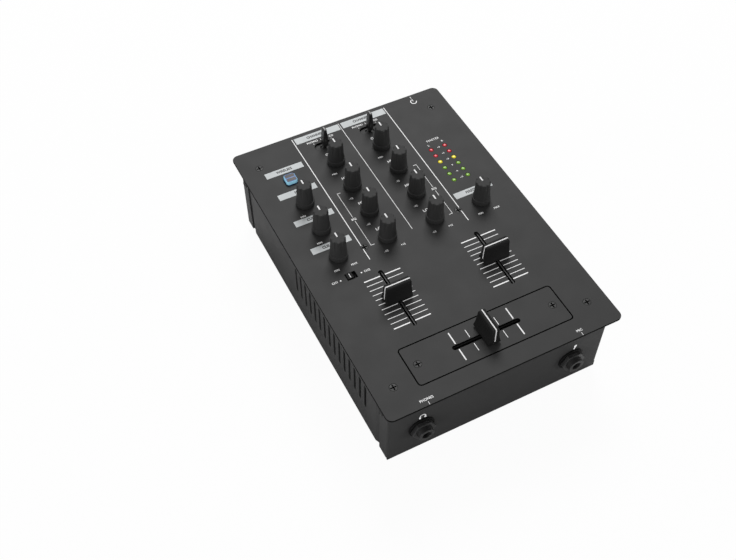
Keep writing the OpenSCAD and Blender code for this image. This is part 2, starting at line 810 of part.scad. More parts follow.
module fader_cap() {
    color(plastic_black) difference() {
        translate([0, 0, cap_bottom]) rotate([90, 0, 0]) linear_extrude(cap_w, center = true) cap_outline();
        translate([0, 0, cap_bottom - 1])
            block([lever_w + 2 * snug, lever_t + 2 * snug, lever_top - cap_bottom + 1.2]);
    }
}
module channel_1_fader_cap() { in_channel(-1) fader_cap(); }
module channel_2_fader_cap() { in_channel(1) fader_cap(); }
module crossfader_cap() { in_crossfader() fader_cap(); }

// ---- Switches and lamps ----

module source_switch_bodies() {
    wall_top = source_body[2];
    color("#2b2b2b") for (sx = [-1, 1]) translate([sx * knob_col_pitch / 2, source_y, control_top]) {
        difference() {
            block(source_body);
            translate([0, 0, 1]) block([10, source_hub_w + 2 * free, wall_top]);
        }
        translate([0, 0, source_pivot_z - control_top]) rotate([90, 0, 0])
            cylinder(h = source_hub_w + 2 * free, d = source_pin_d, center = true);
    }
}

// Front view of a source lever's paddle
module paddle_outline() {
    low = plate_top - 1 - source_pivot_z;
    high = source_paddle_top - source_pivot_z;
    widest = source_paddle_w / 2;
    right = [[widest - 0.4, low], [widest, low + 2], [widest, low + 7], [2.4, high - 1.2], [1.8, high]];
    n = len(right);
    polygon(concat(right, [for (i = [n - 1:-1:0]) [-right[i][0], right[i][1]]]));
}

module source_lever(sx) {
    arm = [2.6, 3.2];
    dish_r = 13;
    color(plastic_black) translate([sx * knob_col_pitch / 2, source_y, source_pivot_z]) difference() {
        union() {
            rotate([90, 0, 0]) cylinder(h = source_hub_w, d = source_hub_d, center = true);
            block([arm[0], arm[1], plate_top - source_pivot_z]);
            rotate([90, 0, 0]) linear_extrude(source_paddle_d, center = true) paddle_outline();
        }
        rotate([90, 0, 0]) cylinder(h = 10, d = source_pin_d + 2 * fit, center = true);
        // A hollow for the fingertip at the front and at the back
        for (sy = [-1, 1])
            translate([0, sy * (source_paddle_d / 2 + dish_r - 0.9), plate_top + 10 - source_pivot_z])
                rotate([0, 90, 0]) cylinder(h = 12, r = dish_r, center = true);
    }
}
module channel_1_source_lever() { source_lever(-1); }
module channel_2_source_lever() { source_lever(1); }

cue_base = [5, 4, 3];
cue_stem = [3, 3.6];
cue_floor = control_top + 3;
cue_rest_x = col_x[0] - cue_travel / 2;

module cue_switch_body() {
    color("#2b2b2b") translate([col_x[0], cue_switch_y, control_top]) difference() {
        block(cue_body);
        translate([0, 0, cue_floor - control_top])
            block([cue_base[0] + cue_travel + 2 * free, cue_base[1] + 2 * free, cue_base[2] + 2 * free]);
        translate([0, 0, cue_floor - control_top])
            block([cue_stem[0] + cue_travel + 2 * free, cue_stem[1] + 2 * free, cue_body[2]]);
    }
}

module cue_switch_slider() {
    base_z = cue_floor + free;
    cap_z = control_top + cue_body[2] + free;
    color(plastic_black) translate([cue_rest_x, cue_switch_y, 0]) {
        translate([0, 0, base_z]) block(cue_base);
        translate([0, 0, base_z + cue_base[2]])
            block([cue_stem[0], cue_stem[1], cap_z - base_z - cue_base[2]]);
        translate([0, 0, cap_z]) block([cue_cap[0], cue_cap[1], cue_cap_top - cap_z]);
    }
}

module link_switch_body() {
    color("#2b2b2b") translate([col_x[0], link_y, control_top]) difference() {
        block(link_body);
        translate([0, 0, 1.5]) cylinder(h = link_body[2], d = link_stem_d + 2 * free);
    }
}

module link_button() {
    color("#8fc7e8") translate([col_x[0], link_y, 0]) {
        translate([0, 0, link_stem_bottom]) cylinder(h = link_bottom - link_stem_bottom, d = link_stem_d);
        translate([0, 0, link_bottom])
            linear_extrude(link_top - link_bottom) rounded_rect(link_w, link_w, 2);
    }
}

module lamp() {
    flange_z = plate_under - 1.2;
    r = lamp_d / 2;
    translate([0, 0, flange_z]) cylinder(h = 1, d = lamp_d + 0.9);
    translate([0, 0, flange_z]) cylinder(h = lamp_top - r - flange_z, d = lamp_d);
    translate([0, 0, lamp_top - r]) intersection() {
        sphere(r);
        translate([0, 0, 0]) block([lamp_d + 1, lamp_d + 1, r + 1]);
    }
    for (s = [-1, 1]) translate([0, s * 1.0, control_top]) block([0.5, 0.5, flange_z - control_top]);
}
module red_lamps() { color("red") lamp_points([4, 5]) lamp(); }
module yellow_lamps() { color("yellow") lamp_points([3]) lamp(); }
module green_lamps() { color("limegreen") lamp_points([0, 1, 2]) lamp(); }

// ---- Front sockets ----

module jack(sx) {
    color(plastic_black) translate([sx * jack_x, 0, jack_z]) difference() {
        union() {
            translate([-jack_body[0] / 2, front_face + sheet_t, -jack_body[2] / 2]) cube(jack_body);
            translate([0, front_face + sheet_t, 0]) facing_front()
                cylinder(h = front_face + sheet_t - jack_front, d = jack_barrel_d);
        }
        translate([0, jack_front + jack_depth, 0]) facing_front()
            cylinder(h = jack_depth + 1, d = jack_bore_d);
    }
}
module phones_jack() { jack(-1); }
module microphone_jack() { jack(1); }

module jack_washers() {
    color(plastic_black) for (sx = [-1, 1]) translate([sx * jack_x, front_face, jack_z]) facing_front()
        difference() {
            union() {
                cylinder(h = jack_washer_t - 0.4, d = jack_washer_d);
                translate([0, 0, jack_washer_t - 0.4])
                    cylinder(h = 0.4, d1 = jack_washer_d, d2 = jack_washer_d - 0.8);
            }
            translate([0, 0, -1]) cylinder(h = jack_washer_t + 2, d = jack_barrel_d + 2 * fit);
        }
}

module jack_nuts() {
    color(plastic_black) for (sx = [-1, 1])
        translate([sx * jack_x, front_face - jack_washer_t, jack_z]) facing_front() difference() {
            hex(jack_nut_af, jack_nut_h);
            translate([0, 0, -1]) cylinder(h = jack_nut_h + 2, d = jack_barrel_d + 2 * fit);
        }
}

// ---- Rear sockets ----

module phono_blocks() {
    color(plastic_black) for (x = rca_columns) difference() {
        translate([x, rear_face - sheet_t - rca_block[1] / 2, main_top])
            block([rca_block[0], rca_block[1], rca_block_top - main_top]);
        translate([x, rear_face - 8, rca_screw_z]) facing_rear() cylinder(h = 10, d = screw_d + 2 * fit);
    }
}

module phono_places(z) {
    for (x = rca_columns) translate([x, rear_face, z]) facing_rear() children();
}

module phono_shells() {
    color(nickel) for (z = [rca_low_z, rca_high_z]) phono_places(z) difference() {
        union() {
            translate([0, 0, -sheet_t]) cylinder(h = sheet_t + rca_collar_t, d = rca_root_d);
            cylinder(h = rca_front - rear_face, d = rca_d);
        }
        translate([0, 0, -sheet_t - 1])
            cylinder(h = rca_front - rear_face + sheet_t + 2, d = rca_d - 2 * rca_shell_wall);
    }
}

// The coloured collar round a shell and the insulator inside it
module phono_insert() {
    difference() {
        cylinder(h = rca_collar_t, d = rca_collar_d);
        translate([0, 0, -1]) cylinder(h = rca_collar_t + 2, d = rca_root_d + 2 * fit);
    }
    difference() {
        translate([0, 0, -sheet_t])
            cylinder(h = rca_front - rear_face + sheet_t - 0.5, d = rca_d - 2 * rca_shell_wall - 2 * fit);
        translate([0, 0, -sheet_t + 1]) cylinder(h = 20, d = rca_pin_d);
    }
}
module phono_white_inserts() { color("white") phono_places(rca_high_z) phono_insert(); }
module phono_red_inserts() { color("red") phono_places(rca_low_z) phono_insert(); }

// The earth terminal: a threaded post, its fixing nut inside and a washer outside
module ground_post() {
    color(nickel) translate([ground_x, rear_face, ground_z]) facing_rear() {
        translate([0, 0, -10]) cylinder(h = 10 + end_overhang - 0.6, d = ground_d);
        translate([0, 0, -sheet_t - 2.5]) hex(8, 2.5);
        cylinder(h = ground_washer_t, d = ground_washer_d);
    }
}

module ground_nut() {
    color(nickel) translate([ground_x, rear_face + ground_washer_t + free, ground_z]) facing_rear()
        difference() {
            cylinder(h = ground_nut_t, d = ground_nut_d);
            translate([0, 0, -1]) cylinder(h = ground_nut_t + 2, d = ground_d + 2 * fit);
            for (k = [0:17]) rotate([0, 0, k * 20]) translate([ground_nut_d / 2, 0, -1])
                rotate([0, 0, 45]) block([0.6, 0.6, ground_nut_t + 2]);
        }
}

module supply_inlet() {
    back = rear_face + inlet_proud - inlet_body[1];
    color(plastic_black) {
        difference() {
            translate([inlet_x - inlet_body[0] / 2, back, main_top]) cube(inlet_body);
            translate([inlet_x, rear_face + inlet_proud - inlet_bore_l, inlet_axis_z]) facing_rear()
                cylinder(h = inlet_bore_l + 1, d = inlet_bore_d);
        }
        translate([inlet_x, rear_face + inlet_proud - inlet_bore_l, inlet_axis_z]) facing_rear()
            cylinder(h = inlet_bore_l - 1, d = inlet_pin_d);
    }
}

module power_switch_frame() {
    back = rear_face - power_body_l;
    color(plastic_black) translate([power_x, 0, power_z]) {
        difference() {
            union() {
                translate([0, back, 0]) facing_rear()
                    block([power_neck[0], power_neck[1], power_body_l + power_bezel_t]);
                translate([0, rear_face, 0]) facing_rear() linear_extrude(power_bezel_t)
                    rounded_rect(power_bezel[0], power_bezel[1], 1);
            }
            translate([0, back + 3, 0]) facing_rear() block([power_window[0], power_window[1], 20]);
        }
        translate([0, power_pivot_y, 0]) rotate([0, 90, 0])
            cylinder(h = power_window[0], d = power_pin_d, center = true);
    }
}

// Side view of the rocker: its press faces slope down to the middle
module rocker_outline() {
    polygon([[-6.9, 3.4], [-6.9, 6.4], [-6, 6.6], [0, 5.2], [6, 6.6], [6.9, 6.4], [6.9, 3.4],
             [3, -2.6], [-3, -2.6]]);
}

module power_rocker() {
    color(plastic_black) translate([power_x, power_pivot_y, power_z])
        rotate([power_tilt, 0, 0]) difference() {
            rotate([0, 90, 0]) linear_extrude(rocker_w, center = true) rocker_outline();
            rotate([0, 90, 0])
                cylinder(h = rocker_w + 2, d = power_pin_d + 2 * fit, center = true);
        }
}

top_plate();
crossfader_plate();
plate_screws();
front_panel();
rear_panel();
bottom_tray();
feet();
case_screws();
plate_pillars();
control_board();
main_board();
board_standoffs();
board_parts();
wireless_module();
board_connectors();
ribbon_cable();
pot_bodies();
fader_frames();
crossfader_nuts();
source_switch_bodies();
cue_switch_body();
link_switch_body();
red_lamps();
yellow_lamps();
green_lamps();
phones_jack();
microphone_jack();
jack_washers();
jack_nuts();
phono_blocks();
phono_shells();
phono_white_inserts();
phono_red_inserts();
ground_post();
supply_inlet();
power_switch_frame();
microphone_knob();
cue_mix_knob();
cue_level_knob();
channel_1_gain_knob();
channel_1_high_knob();
channel_1_mid_knob();
channel_1_low_knob();
channel_2_gain_knob();
channel_2_high_knob();
channel_2_mid_knob();
channel_2_low_knob();
master_knob();
channel_1_fader_lever();
channel_2_fader_lever();
crossfader_lever();
channel_1_fader_cap();
channel_2_fader_cap();
crossfader_cap();
channel_1_source_lever();
channel_2_source_lever();
cue_switch_slider();
link_button();
power_rocker();
ground_nut();
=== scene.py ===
"""The finish of a two channel mixer: its painted case, controls, lamps, sockets and printing.

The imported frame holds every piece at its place. This script rounds the steel, models the
controls in full, prints the panels, gives each piece its material and sets up a plain studio.
"""

import json
import math

import bmesh
import bpy
from bpy.props import FloatProperty, FloatVectorProperty, PointerProperty
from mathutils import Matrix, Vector


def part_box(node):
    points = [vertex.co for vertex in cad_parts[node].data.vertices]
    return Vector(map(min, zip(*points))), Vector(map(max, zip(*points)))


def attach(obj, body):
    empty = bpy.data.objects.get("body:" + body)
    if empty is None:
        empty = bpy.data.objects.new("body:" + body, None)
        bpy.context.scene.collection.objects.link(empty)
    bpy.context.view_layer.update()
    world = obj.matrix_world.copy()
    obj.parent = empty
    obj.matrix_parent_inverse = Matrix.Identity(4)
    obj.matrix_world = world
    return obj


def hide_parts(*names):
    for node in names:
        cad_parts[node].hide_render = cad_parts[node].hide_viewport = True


bl_info = {
    "name": "Two channel mixer",
    "version": (1, 0, 0),
    "blender": (4, 5, 0),
    "location": "View3D > Sidebar > Mixer",
    "description": "Models the finish, controls and printing of a two channel mixer",
    "category": "Mesh",
}

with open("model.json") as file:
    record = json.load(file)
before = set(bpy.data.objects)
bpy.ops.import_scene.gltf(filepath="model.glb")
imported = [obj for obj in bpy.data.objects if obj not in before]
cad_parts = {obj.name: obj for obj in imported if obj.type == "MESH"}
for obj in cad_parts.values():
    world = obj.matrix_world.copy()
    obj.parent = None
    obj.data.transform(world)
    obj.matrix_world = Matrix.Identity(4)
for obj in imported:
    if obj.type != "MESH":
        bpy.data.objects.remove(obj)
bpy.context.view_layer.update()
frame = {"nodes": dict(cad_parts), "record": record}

MM = 0.001

# How far down from the plate's face a piece lies that is close under the plate, in mm
UNDER_PLATE = 1.55

# The plate's front left corner is the origin of everything printed on the plate
plate_low, plate_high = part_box("top_plate")
plate_top = plate_high.z
front_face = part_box("front_panel")[0].y
rear_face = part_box("rear_panel")[1].y


# ---- Properties ----

def linear(code):
    """A colour such as "4a4a4a" as the linear values that Blender keeps."""
    parts = [int(code[k:k + 2], 16) / 255 for k in (0, 2, 4)]
    return [p / 12.92 if p <= 0.04045 else ((p + 0.055) / 1.055) ** 2.4 for p in parts]


def size(title, text, millimetres):
    """A length that a user can change, given in millimetres."""
    return FloatProperty(name=title, description=text, default=millimetres * MM, min=0.0,
                         unit="LENGTH", precision=5)


def colour(title, text, code):
    """A colour that a user can change."""
    return FloatVectorProperty(name=title, description=text, subtype="COLOR", size=3,
                               min=0.0, max=1.0, default=linear(code))


class MixerSizes(bpy.types.PropertyGroup):
    """Sizes of the modelled detail."""

    sheet_edge: size("Sheet edge", "Rounding of the painted sheet's edges", 0.22)
    knob_width: size("Knob width", "Width of a knob at its foot", 13.2)
    knob_height: size("Knob height", "Height of a knob over the plate", 19.1)
    pointer_width: size("Pointer width", "Width of a knob's white pointer", 1.0)
    cap_length: size("Cap length", "Length of a fader cap along its ridge", 17.9)
    cap_foot: size("Cap foot", "Width of a fader cap at its foot", 9.0)
    cap_height: size("Cap height", "Height of a fader cap", 14.5)
    cap_line: size("Cap line", "Width of a fader cap's white line", 0.75)
    print_thickness: size("Print thickness", "Thickness of the printed ink", 0.03)
    letter_weight: FloatProperty(name="Letter weight", description="Thickening of the lettering",
                                 default=0.018, min=0.0, max=0.05)
    floor_white: FloatProperty(name="Floor white", description="Share of plain white in the floor",
                               default=0.96, min=0.0, max=1.0, subtype="FACTOR")


class MixerColours(bpy.types.PropertyGroup):
    """Colours of the finishes."""

    steel: colour("Steel", "Painted top plate and case", "383838")
    screw: colour("Screws", "Blackened screws", "343434")
    cap: colour("Fader caps", "Moulded fader caps", "1a1a1a")
    gloss: colour("Levers", "Polished source levers", "202020")
    socket: colour("Sockets", "Plastic nuts and barrels of the front sockets", "2e2e2e")
    ink: colour("Ink", "White printing", "dcdcdc")
    pointer: colour("Pointers", "White plastic of the pointers and cap lines", "f4f4f4")
    label: colour("Labels", "Printed label bars", "c6cacb")
    label_text: colour("Label words", "Words on the label bars", "101112")
    button: colour("Link button", "Clear sides of the link button", "9cd8f0")
    red_lamp: colour("Red lamps", "Upper level lamps", "c40e2a")
    yellow_lamp: colour("Yellow lamps", "Middle level lamps", "dccc20")
    green_lamp: colour("Green lamps", "Lower level lamps", "78aa28")
    floor: colour("Floor", "Studio floor", "f2f2f2")


# ---- Modelling helpers ----

def clear_selection():
    """Leaves edit mode with nothing selected."""
    if bpy.context.mode != "OBJECT":
        bpy.ops.object.mode_set(mode="OBJECT")
    bpy.ops.object.select_all(action="DESELECT")


def take(piece):
    """Selects one piece and makes it active."""
    clear_selection()
    piece.select_set(True)
    bpy.context.view_layer.objects.active = piece


def edit(piece):
    """Opens a piece in edit mode with all of it selected."""
    take(piece)
    bpy.ops.object.mode_set(mode="EDIT")
    bpy.ops.mesh.select_mode(type="VERT")
    bpy.ops.mesh.select_all(action="SELECT")


def select_vertices(piece, chosen):
    """Selects the vertices, of a piece in edit mode, whose place passes a test."""
    mesh = bmesh.from_edit_mesh(piece.data)
    bpy.ops.mesh.select_mode(type="VERT")
    bpy.ops.mesh.select_all(action="DESELECT")
    for vertex in mesh.verts:
        vertex.select = chosen(vertex.co)
    mesh.select_flush(True)
    bmesh.update_edit_mesh(piece.data)


def select_edges(piece, chosen):
    """Selects the edges, of a piece in edit mode, whose two ends pass a test."""
    mesh = bmesh.from_edit_mesh(piece.data)
    bpy.ops.mesh.select_mode(type="EDGE")
    bpy.ops.mesh.select_all(action="DESELECT")
    for edge in mesh.edges:
        edge.select = chosen(edge.verts[0].co, edge.verts[1].co)
    bmesh.update_edit_mesh(piece.data)


def placed(piece, place=(0, 0, 0), turn=(0, 0, 0)):
    """Turns and moves a piece, and leaves its object at the origin."""
    take(piece)
    piece.rotation_euler = turn
    piece.location = place
    bpy.ops.object.transform_apply(location=True, rotation=True, scale=True)
    return piece


def copied(pattern, name):
    """A copy of a piece with a mesh of its own."""
    take(pattern)
    bpy.ops.object.duplicate(linked=False)
    copy = bpy.context.object
    copy.name = name
    return copy


def joined(name, pieces):
    """Several pieces as one."""
    take(pieces[0])
    for piece in pieces:
        piece.select_set(True)
    bpy.ops.object.join()
    piece = bpy.context.object
    piece.name = name
    return piece


def discarded(pieces):
    """Removes patterns and cutters once they have served."""
    clear_selection()
    for piece in pieces:
        piece.select_set(True)
    bpy.ops.object.delete()


def stacked(name, rings, sides=48):
    """A solid built up by extruding level rings, each (half width, half depth, height) in mm.

    Four sides give an upright block, more give a round or an oval.
    """
    clear_selection()
    half_x, half_y, height = rings[0]
    if sides == 4:
        bpy.ops.mesh.primitive_plane_add(size=2 * MM)
    else:
        bpy.ops.mesh.primitive_circle_add(vertices=sides, radius=MM, fill_type="NGON")
    piece = bpy.context.object
    piece.name = name
    edit(piece)
    bpy.ops.transform.resize(value=(half_x, half_y, 1), center_override=(0, 0, 0))
    bpy.ops.transform.translate(value=(0, 0, height * MM))
    for next_x, next_y, next_height in rings[1:]:
        rise = (0, 0, (next_height - height) * MM)
        bpy.ops.mesh.extrude_region_move(TRANSFORM_OT_translate={"value": rise})
        bpy.ops.transform.resize(value=(next_x / half_x, next_y / half_y, 1),
                                 center_override=(0, 0, 0))
        half_x, half_y, height = next_x, next_y, next_height
    bpy.ops.mesh.select_all(action="SELECT")
    bpy.ops.mesh.normals_make_consistent(inside=False)
    bpy.ops.object.mode_set(mode="OBJECT")
    return piece


def turned(name, outline, sides=48):
    """A round solid on Z from its outline, as (radius, height) points in mm."""
    return stacked(name, [(r, r, z) for r, z in outline], sides)


def rounded_block(name, half_x, half_y, low, high, corner, edge=0.0):
    """An upright block in mm with round corners and a softened top."""
    piece = stacked(name, [(half_x, half_y, low), (half_x, half_y, high)], sides=4)
    edit(piece)
    select_edges(piece, lambda a, b: abs(a.z - b.z) > MM * (high - low) / 2)
    bpy.ops.mesh.bevel(offset=corner * MM, segments=6, affect="EDGES")
    if edge:
        select_edges(piece, lambda a, b: min(a.z, b.z) > high * MM - 1e-6)
        bpy.ops.mesh.bevel(offset=edge * MM, segments=3, affect="EDGES")
    bpy.ops.object.mode_set(mode="OBJECT")
    return piece


def modified(piece, kind, **settings):
    """Gives a piece a modifier with its settings, and applies it."""
    take(piece)
    bpy.ops.object.modifier_add(type=kind)
    modifier = piece.modifiers[-1]
    for name, value in settings.items():
        setattr(modifier, name, value)
    bpy.ops.object.modifier_apply(modifier=modifier.name)
    return piece


def cut(piece, cutter):
    """Takes one solid out of another."""
    return modified(piece, "BOOLEAN", operation="DIFFERENCE", solver="EXACT", object=cutter)


def eased(piece, width, segments=2, angle=30, clamped=False):
    """Rounds every edge of a piece that is sharper than an angle."""
    return modified(piece, "BEVEL", width=width, segments=segments, limit_method="ANGLE",
                    angle_limit=math.radians(angle), use_clamp_overlap=clamped)


def smoothed(piece, angle=35):
    """Shades a piece smooth except across its sharp edges."""
    take(piece)
    bpy.ops.object.shade_smooth_by_angle(angle=math.radians(angle))
    return piece


def levelled(piece):
    """Keeps broad flat faces level where they meet rounded edges."""
    return modified(piece, "WEIGHTED_NORMAL", keep_sharp=True)


def softened(node, name, width, segments=2, clamped=False):
    """A frame node's shape as a piece with rounded edges.

    A sheet with narrow slots keeps its rounding clamped, so that no corner runs out.
    """
    source = frame["nodes"][node]
    piece = bpy.data.objects.new(name, source.data.copy())
    bpy.context.collection.objects.link(piece)
    edit(piece)
    bpy.ops.mesh.remove_doubles(threshold=1e-6)
    bpy.ops.mesh.dissolve_limited(angle_limit=math.radians(0.5))
    bpy.ops.object.mode_set(mode="OBJECT")
    eased(piece, width, segments, clamped=clamped)
    return levelled(smoothed(piece))


def solids_of(node):
    """The box of each separate solid of a frame node, as (lowest, highest) corners."""
    mesh = bmesh.new()
    mesh.from_mesh(frame["nodes"][node].data)
    bmesh.ops.remove_doubles(mesh, verts=mesh.verts, dist=1e-6)
    waiting = set(mesh.verts)
    boxes = []
    while waiting:
        group = [waiting.pop()]
        for vertex in group:
            near = {e.other_vert(vertex) for e in vertex.link_edges} & waiting
            waiting -= near
            group.extend(near)
        places = [v.co.copy() for v in group]
        boxes.append((Vector(min(p[k] for p in places) for k in range(3)),
                      Vector(max(p[k] for p in places) for k in range(3))))
    mesh.free()
    return sorted(boxes, key=lambda box: tuple(round(c, 5) for c in box[0]))


def painted(piece, *finishes):
    """Gives a piece the materials of some finishes, replacing any it had."""
    piece.data.materials.clear()
    for name in finishes:
        piece.data.materials.append(finish(name))
    return piece


def fitted(piece, body, slot, *nodes):
    """Puts a finished piece on its body in place of the frame nodes it stands for."""
    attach(piece, body)
    if nodes:
        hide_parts(*nodes)


# ---- Shared shader groups ----

def wired(tree, *wires):
    """Links nodes of a tree, each wire given as (node, output, node, input)."""
    for source, output, target, socket in wires:
        tree.links.new(source.outputs[output], target.inputs[socket])


def new_group(name, inputs, output, kind):
    """An empty shader group with its inputs as (name, kind, value) and one output."""
    group = bpy.data.node_groups.new(name, "ShaderNodeTree")
    for socket_name, socket_kind, value in inputs:
        socket = group.interface.new_socket(name=socket_name, in_out="INPUT",
                                            socket_type=socket_kind)
        socket.default_value = value
    group.interface.new_socket(name=output, in_out="OUTPUT", socket_type=kind)
    return group, group.nodes.new("NodeGroupInput"), group.nodes.new("NodeGroupOutput")


def spread_noise(group, source, scale_input, detail):
    """A noise over the object, its scale taken from a group input."""
    place = group.nodes.new("ShaderNodeTexCoord")
    noise = group.nodes.new("ShaderNodeTexNoise")
    noise.inputs["Detail"].default_value = detail
    wired(group, (place, "Object", noise, "Vector"), (source, scale_input, noise, "Scale"))
    return noise


def noise_between(group, source, detail, reach, low_input, high_input):
    """A patchy noise whose middle reach is spread between two group inputs."""
    noise = spread_noise(group, source, "Patches", detail)
    level = group.nodes.new("ShaderNodeMapRange")
    level.inputs["From Min"].default_value = reach[0]
    level.inputs["From Max"].default_value = reach[1]
    wired(group, (noise, "Fac", level, "Value"), (source, low_input, level, "To Min"),
          (source, high_input, level, "To Max"))
    return level


def fine_grain():
    """Height of a fine even grain over a slower unevenness."""
    found = bpy.data.node_groups.get("Fine grain")
    if found:
        return found
    group, source, result = new_group("Fine grain", [
        ("Grain", "NodeSocketFloat", 4000.0),
        ("Waves", "NodeSocketFloat", 600.0),
        ("Wave share", "NodeSocketFloat", 0.4),
    ], "Height", "NodeSocketFloat")
    blend = group.nodes.new("ShaderNodeMix")
    wired(group, (source, "Wave share", blend, "Factor"),
          (spread_noise(group, source, "Grain", 2.0), "Fac", blend, "A"),
          (spread_noise(group, source, "Waves", 1.0), "Fac", blend, "B"),
          (blend, "Result", result, "Height"))
    return group


def colour_mottle():
    """A colour that drifts a little lighter and darker over the surface."""
    found = bpy.data.node_groups.get("Colour mottle")
    if found:
        return found
    group, source, result = new_group("Colour mottle", [
        ("Colour", "NodeSocketColor", (0.5, 0.5, 0.5, 1.0)),
        ("Patches", "NodeSocketFloat", 60.0),
        ("Low", "NodeSocketFloat", 0.95),
        ("High", "NodeSocketFloat", 1.05),
    ], "Colour", "NodeSocketColor")
    level = noise_between(group, source, 4.0, (0.3, 0.7), "Low", "High")
    scale = group.nodes.new("ShaderNodeVectorMath")
    scale.operation = "SCALE"
    wired(group, (source, "Colour", scale, "Vector"), (level, "Result", scale, "Scale"),
          (scale, "Vector", result, "Colour"))
    return group


def handling_sheen():
    """Roughness that changes where a surface has been handled and wiped."""
    found = bpy.data.node_groups.get("Handling sheen")
    if found:
        return found
    group, source, result = new_group("Handling sheen", [
        ("Patches", "NodeSocketFloat", 90.0),
        ("Smooth", "NodeSocketFloat", 0.4),
        ("Rough", "NodeSocketFloat", 0.5),
    ], "Roughness", "NodeSocketFloat")
    level = noise_between(group, source, 5.0, (0.35, 0.65), "Smooth", "Rough")
    wired(group, (level, "Result", result, "Roughness"))
    return group


def placed_group(material, group, values):
    """A shader group placed in a material with its own values."""
    node = material.node_tree.nodes.new("ShaderNodeGroup")
    node.node_tree = group
    for name, value in values.items():
        node.inputs[name].default_value = value
    return node


def surface(name, tint, roughness, grain, grain_depth, drift=0.04, patches=60.0, spread=0.06,
            metallic=0.0, specular=0.5, coat=0.0):
    """A solid material: a drifting colour, a handled sheen and a fine grain of real height.

    The grain is in bumps per metre and its depth in metres.
    """
    material = bpy.data.materials.new(name)
    material.use_nodes = True
    material.diffuse_color = (*tint, 1.0)
    shader = material.node_tree.nodes["Principled BSDF"]
    shader.inputs["Metallic"].default_value = metallic
    shader.inputs["Specular IOR Level"].default_value = specular
    shader.inputs["Coat Weight"].default_value = coat
    mottle = placed_group(material, colour_mottle(), {
        "Colour": (*tint, 1.0), "Patches": patches, "Low": 1 - drift, "High": 1 + drift})
    sheen = placed_group(material, handling_sheen(), {
        "Patches": 1.7 * patches, "Smooth": roughness - spread, "Rough": roughness + spread})
    height = placed_group(material, fine_grain(), {"Grain": grain})
    bump = material.node_tree.nodes.new("ShaderNodeBump")
    bump.inputs["Distance"].default_value = grain_depth
    wired(material.node_tree, (height, "Height", bump, "Height"),
          (mottle, "Colour", shader, "Base Color"), (sheen, "Roughness", shader, "Roughness"),
          (bump, "Normal", shader, "Normal"))
    return material


# ---- Materials ----

def colours():
    """The colours set on the scene."""
    return bpy.context.scene.mixer_colours


def sizes():
    """The sizes set on the scene."""
    return bpy.context.scene.mixer_sizes


# The finishes made here: the colour, by its name on the scene or as a code, the roughness, the
# bumps of the grain per metre, their depth in metres and any other values. A finish named like
# a slot of the frame is not among them, because it is the frame's own material.
FINISHES = {
    # The painted steel, and a near-black finish that is painted shade on the plates' rounded edges
    # and the walls of their holes, and in the screws' recesses
    "powder_coat": ("steel", 0.58, 5200, 1e-5,
                    {"drift": 0.012, "patches": 35, "spread": 0.02, "specular": 0.2}),
    "edge_and_recess_shade": ("0c0c0c", 0.7, 5200, 1e-5, {"specular": 0.05}),
    "blackened_screw": ("screw", 0.5, 5000, 5e-6, {"specular": 0.3}),
    # The controls
    # A lighter grey on the knobs' ledge: a painted highlight, as if the ledge caught the light
    "knob_ledge_highlight": ("363636", 0.5, 7000, 1e-5, {"specular": 0.3}),
    "cap_plastic": ("cap", 0.62, 7000, 8e-6, {"specular": 0.15}),
    "pointer_plastic": ("pointer", 0.5, 7000, 4e-6, {"drift": 0.02, "specular": 0.2}),
    "lever_plastic": ("gloss", 0.36, 3000, 3e-6, {"spread": 0.04, "coat": 0.15}),
    "stripe_grey": ("8e8e8e", 0.45, 7000, 4e-6, {"specular": 0.3}),
    "button_clear": ("button", 0.2, 2500, 3e-6, {"drift": 0.05, "patches": 300}),
    "button_face": ("6c8cc4", 0.35, 2500, 3e-6, {"specular": 0.2}),
    "button_band": ("575355", 0.4, 5000, 4e-6, {"specular": 0.2}),
    "button_base": ("1d3c78", 0.3, 5000, 4e-6, {}),
    # The front sockets
    "socket_plastic": ("socket", 0.38, 5000, 8e-6, {"specular": 0.4}),
    # The washers are black, darkened further as painted shade where the sockets' shadow falls on
    # them
    "washer_darkened_as_shade": ("121212", 0.6, 5000, 8e-6, {"specular": 0.12}),
    # What shows through the holes and slots
    "dust_cover": ("454545", 0.6, 5000, 1e-5, {"specular": 0.2}),
    "slot_felt": ("303030", 0.9, 2500, 4e-5, {"specular": 0.1}),
    # The felt painted lighter for the channel faders: painted light that makes up for the shade in
    # their slots
    "felt_painted_lighter": ("7c7c7c", 0.9, 2500, 4e-5, {"specular": 0.1}),
    "blackened_frame": ("1b1b1b", 0.5, 4000, 1e-5, {}),
    # Printing inks
    "ink": ("ink", 0.55, 9000, 4e-6, {"drift": 0.02, "specular": 0.2}),
    "label_ink": ("label", 0.55, 9000, 4e-6, {"drift": 0.02}),
    "word_ink": ("label_text", 0.55, 9000, 4e-6, {}),
    # The studio
    "floor_finish": ("floor", 0.8, 200, 2e-5, {"drift": 0.004, "patches": 3, "specular": 0.1}),
}

# How strongly the ink and the link button glow: painted light, since neither is a lamp
INK_PAINTED_GLOW = 0.3
BUTTON_PAINTED_GLOW = 0.22

# The finishes made here that stand for slots of the frame
SLOT_FINISHES = {"black_steel": "powder_coat", "black_screw": "blackened_screw",
                 "gloss_black": "lever_plastic", "button_blue": "button_clear"}


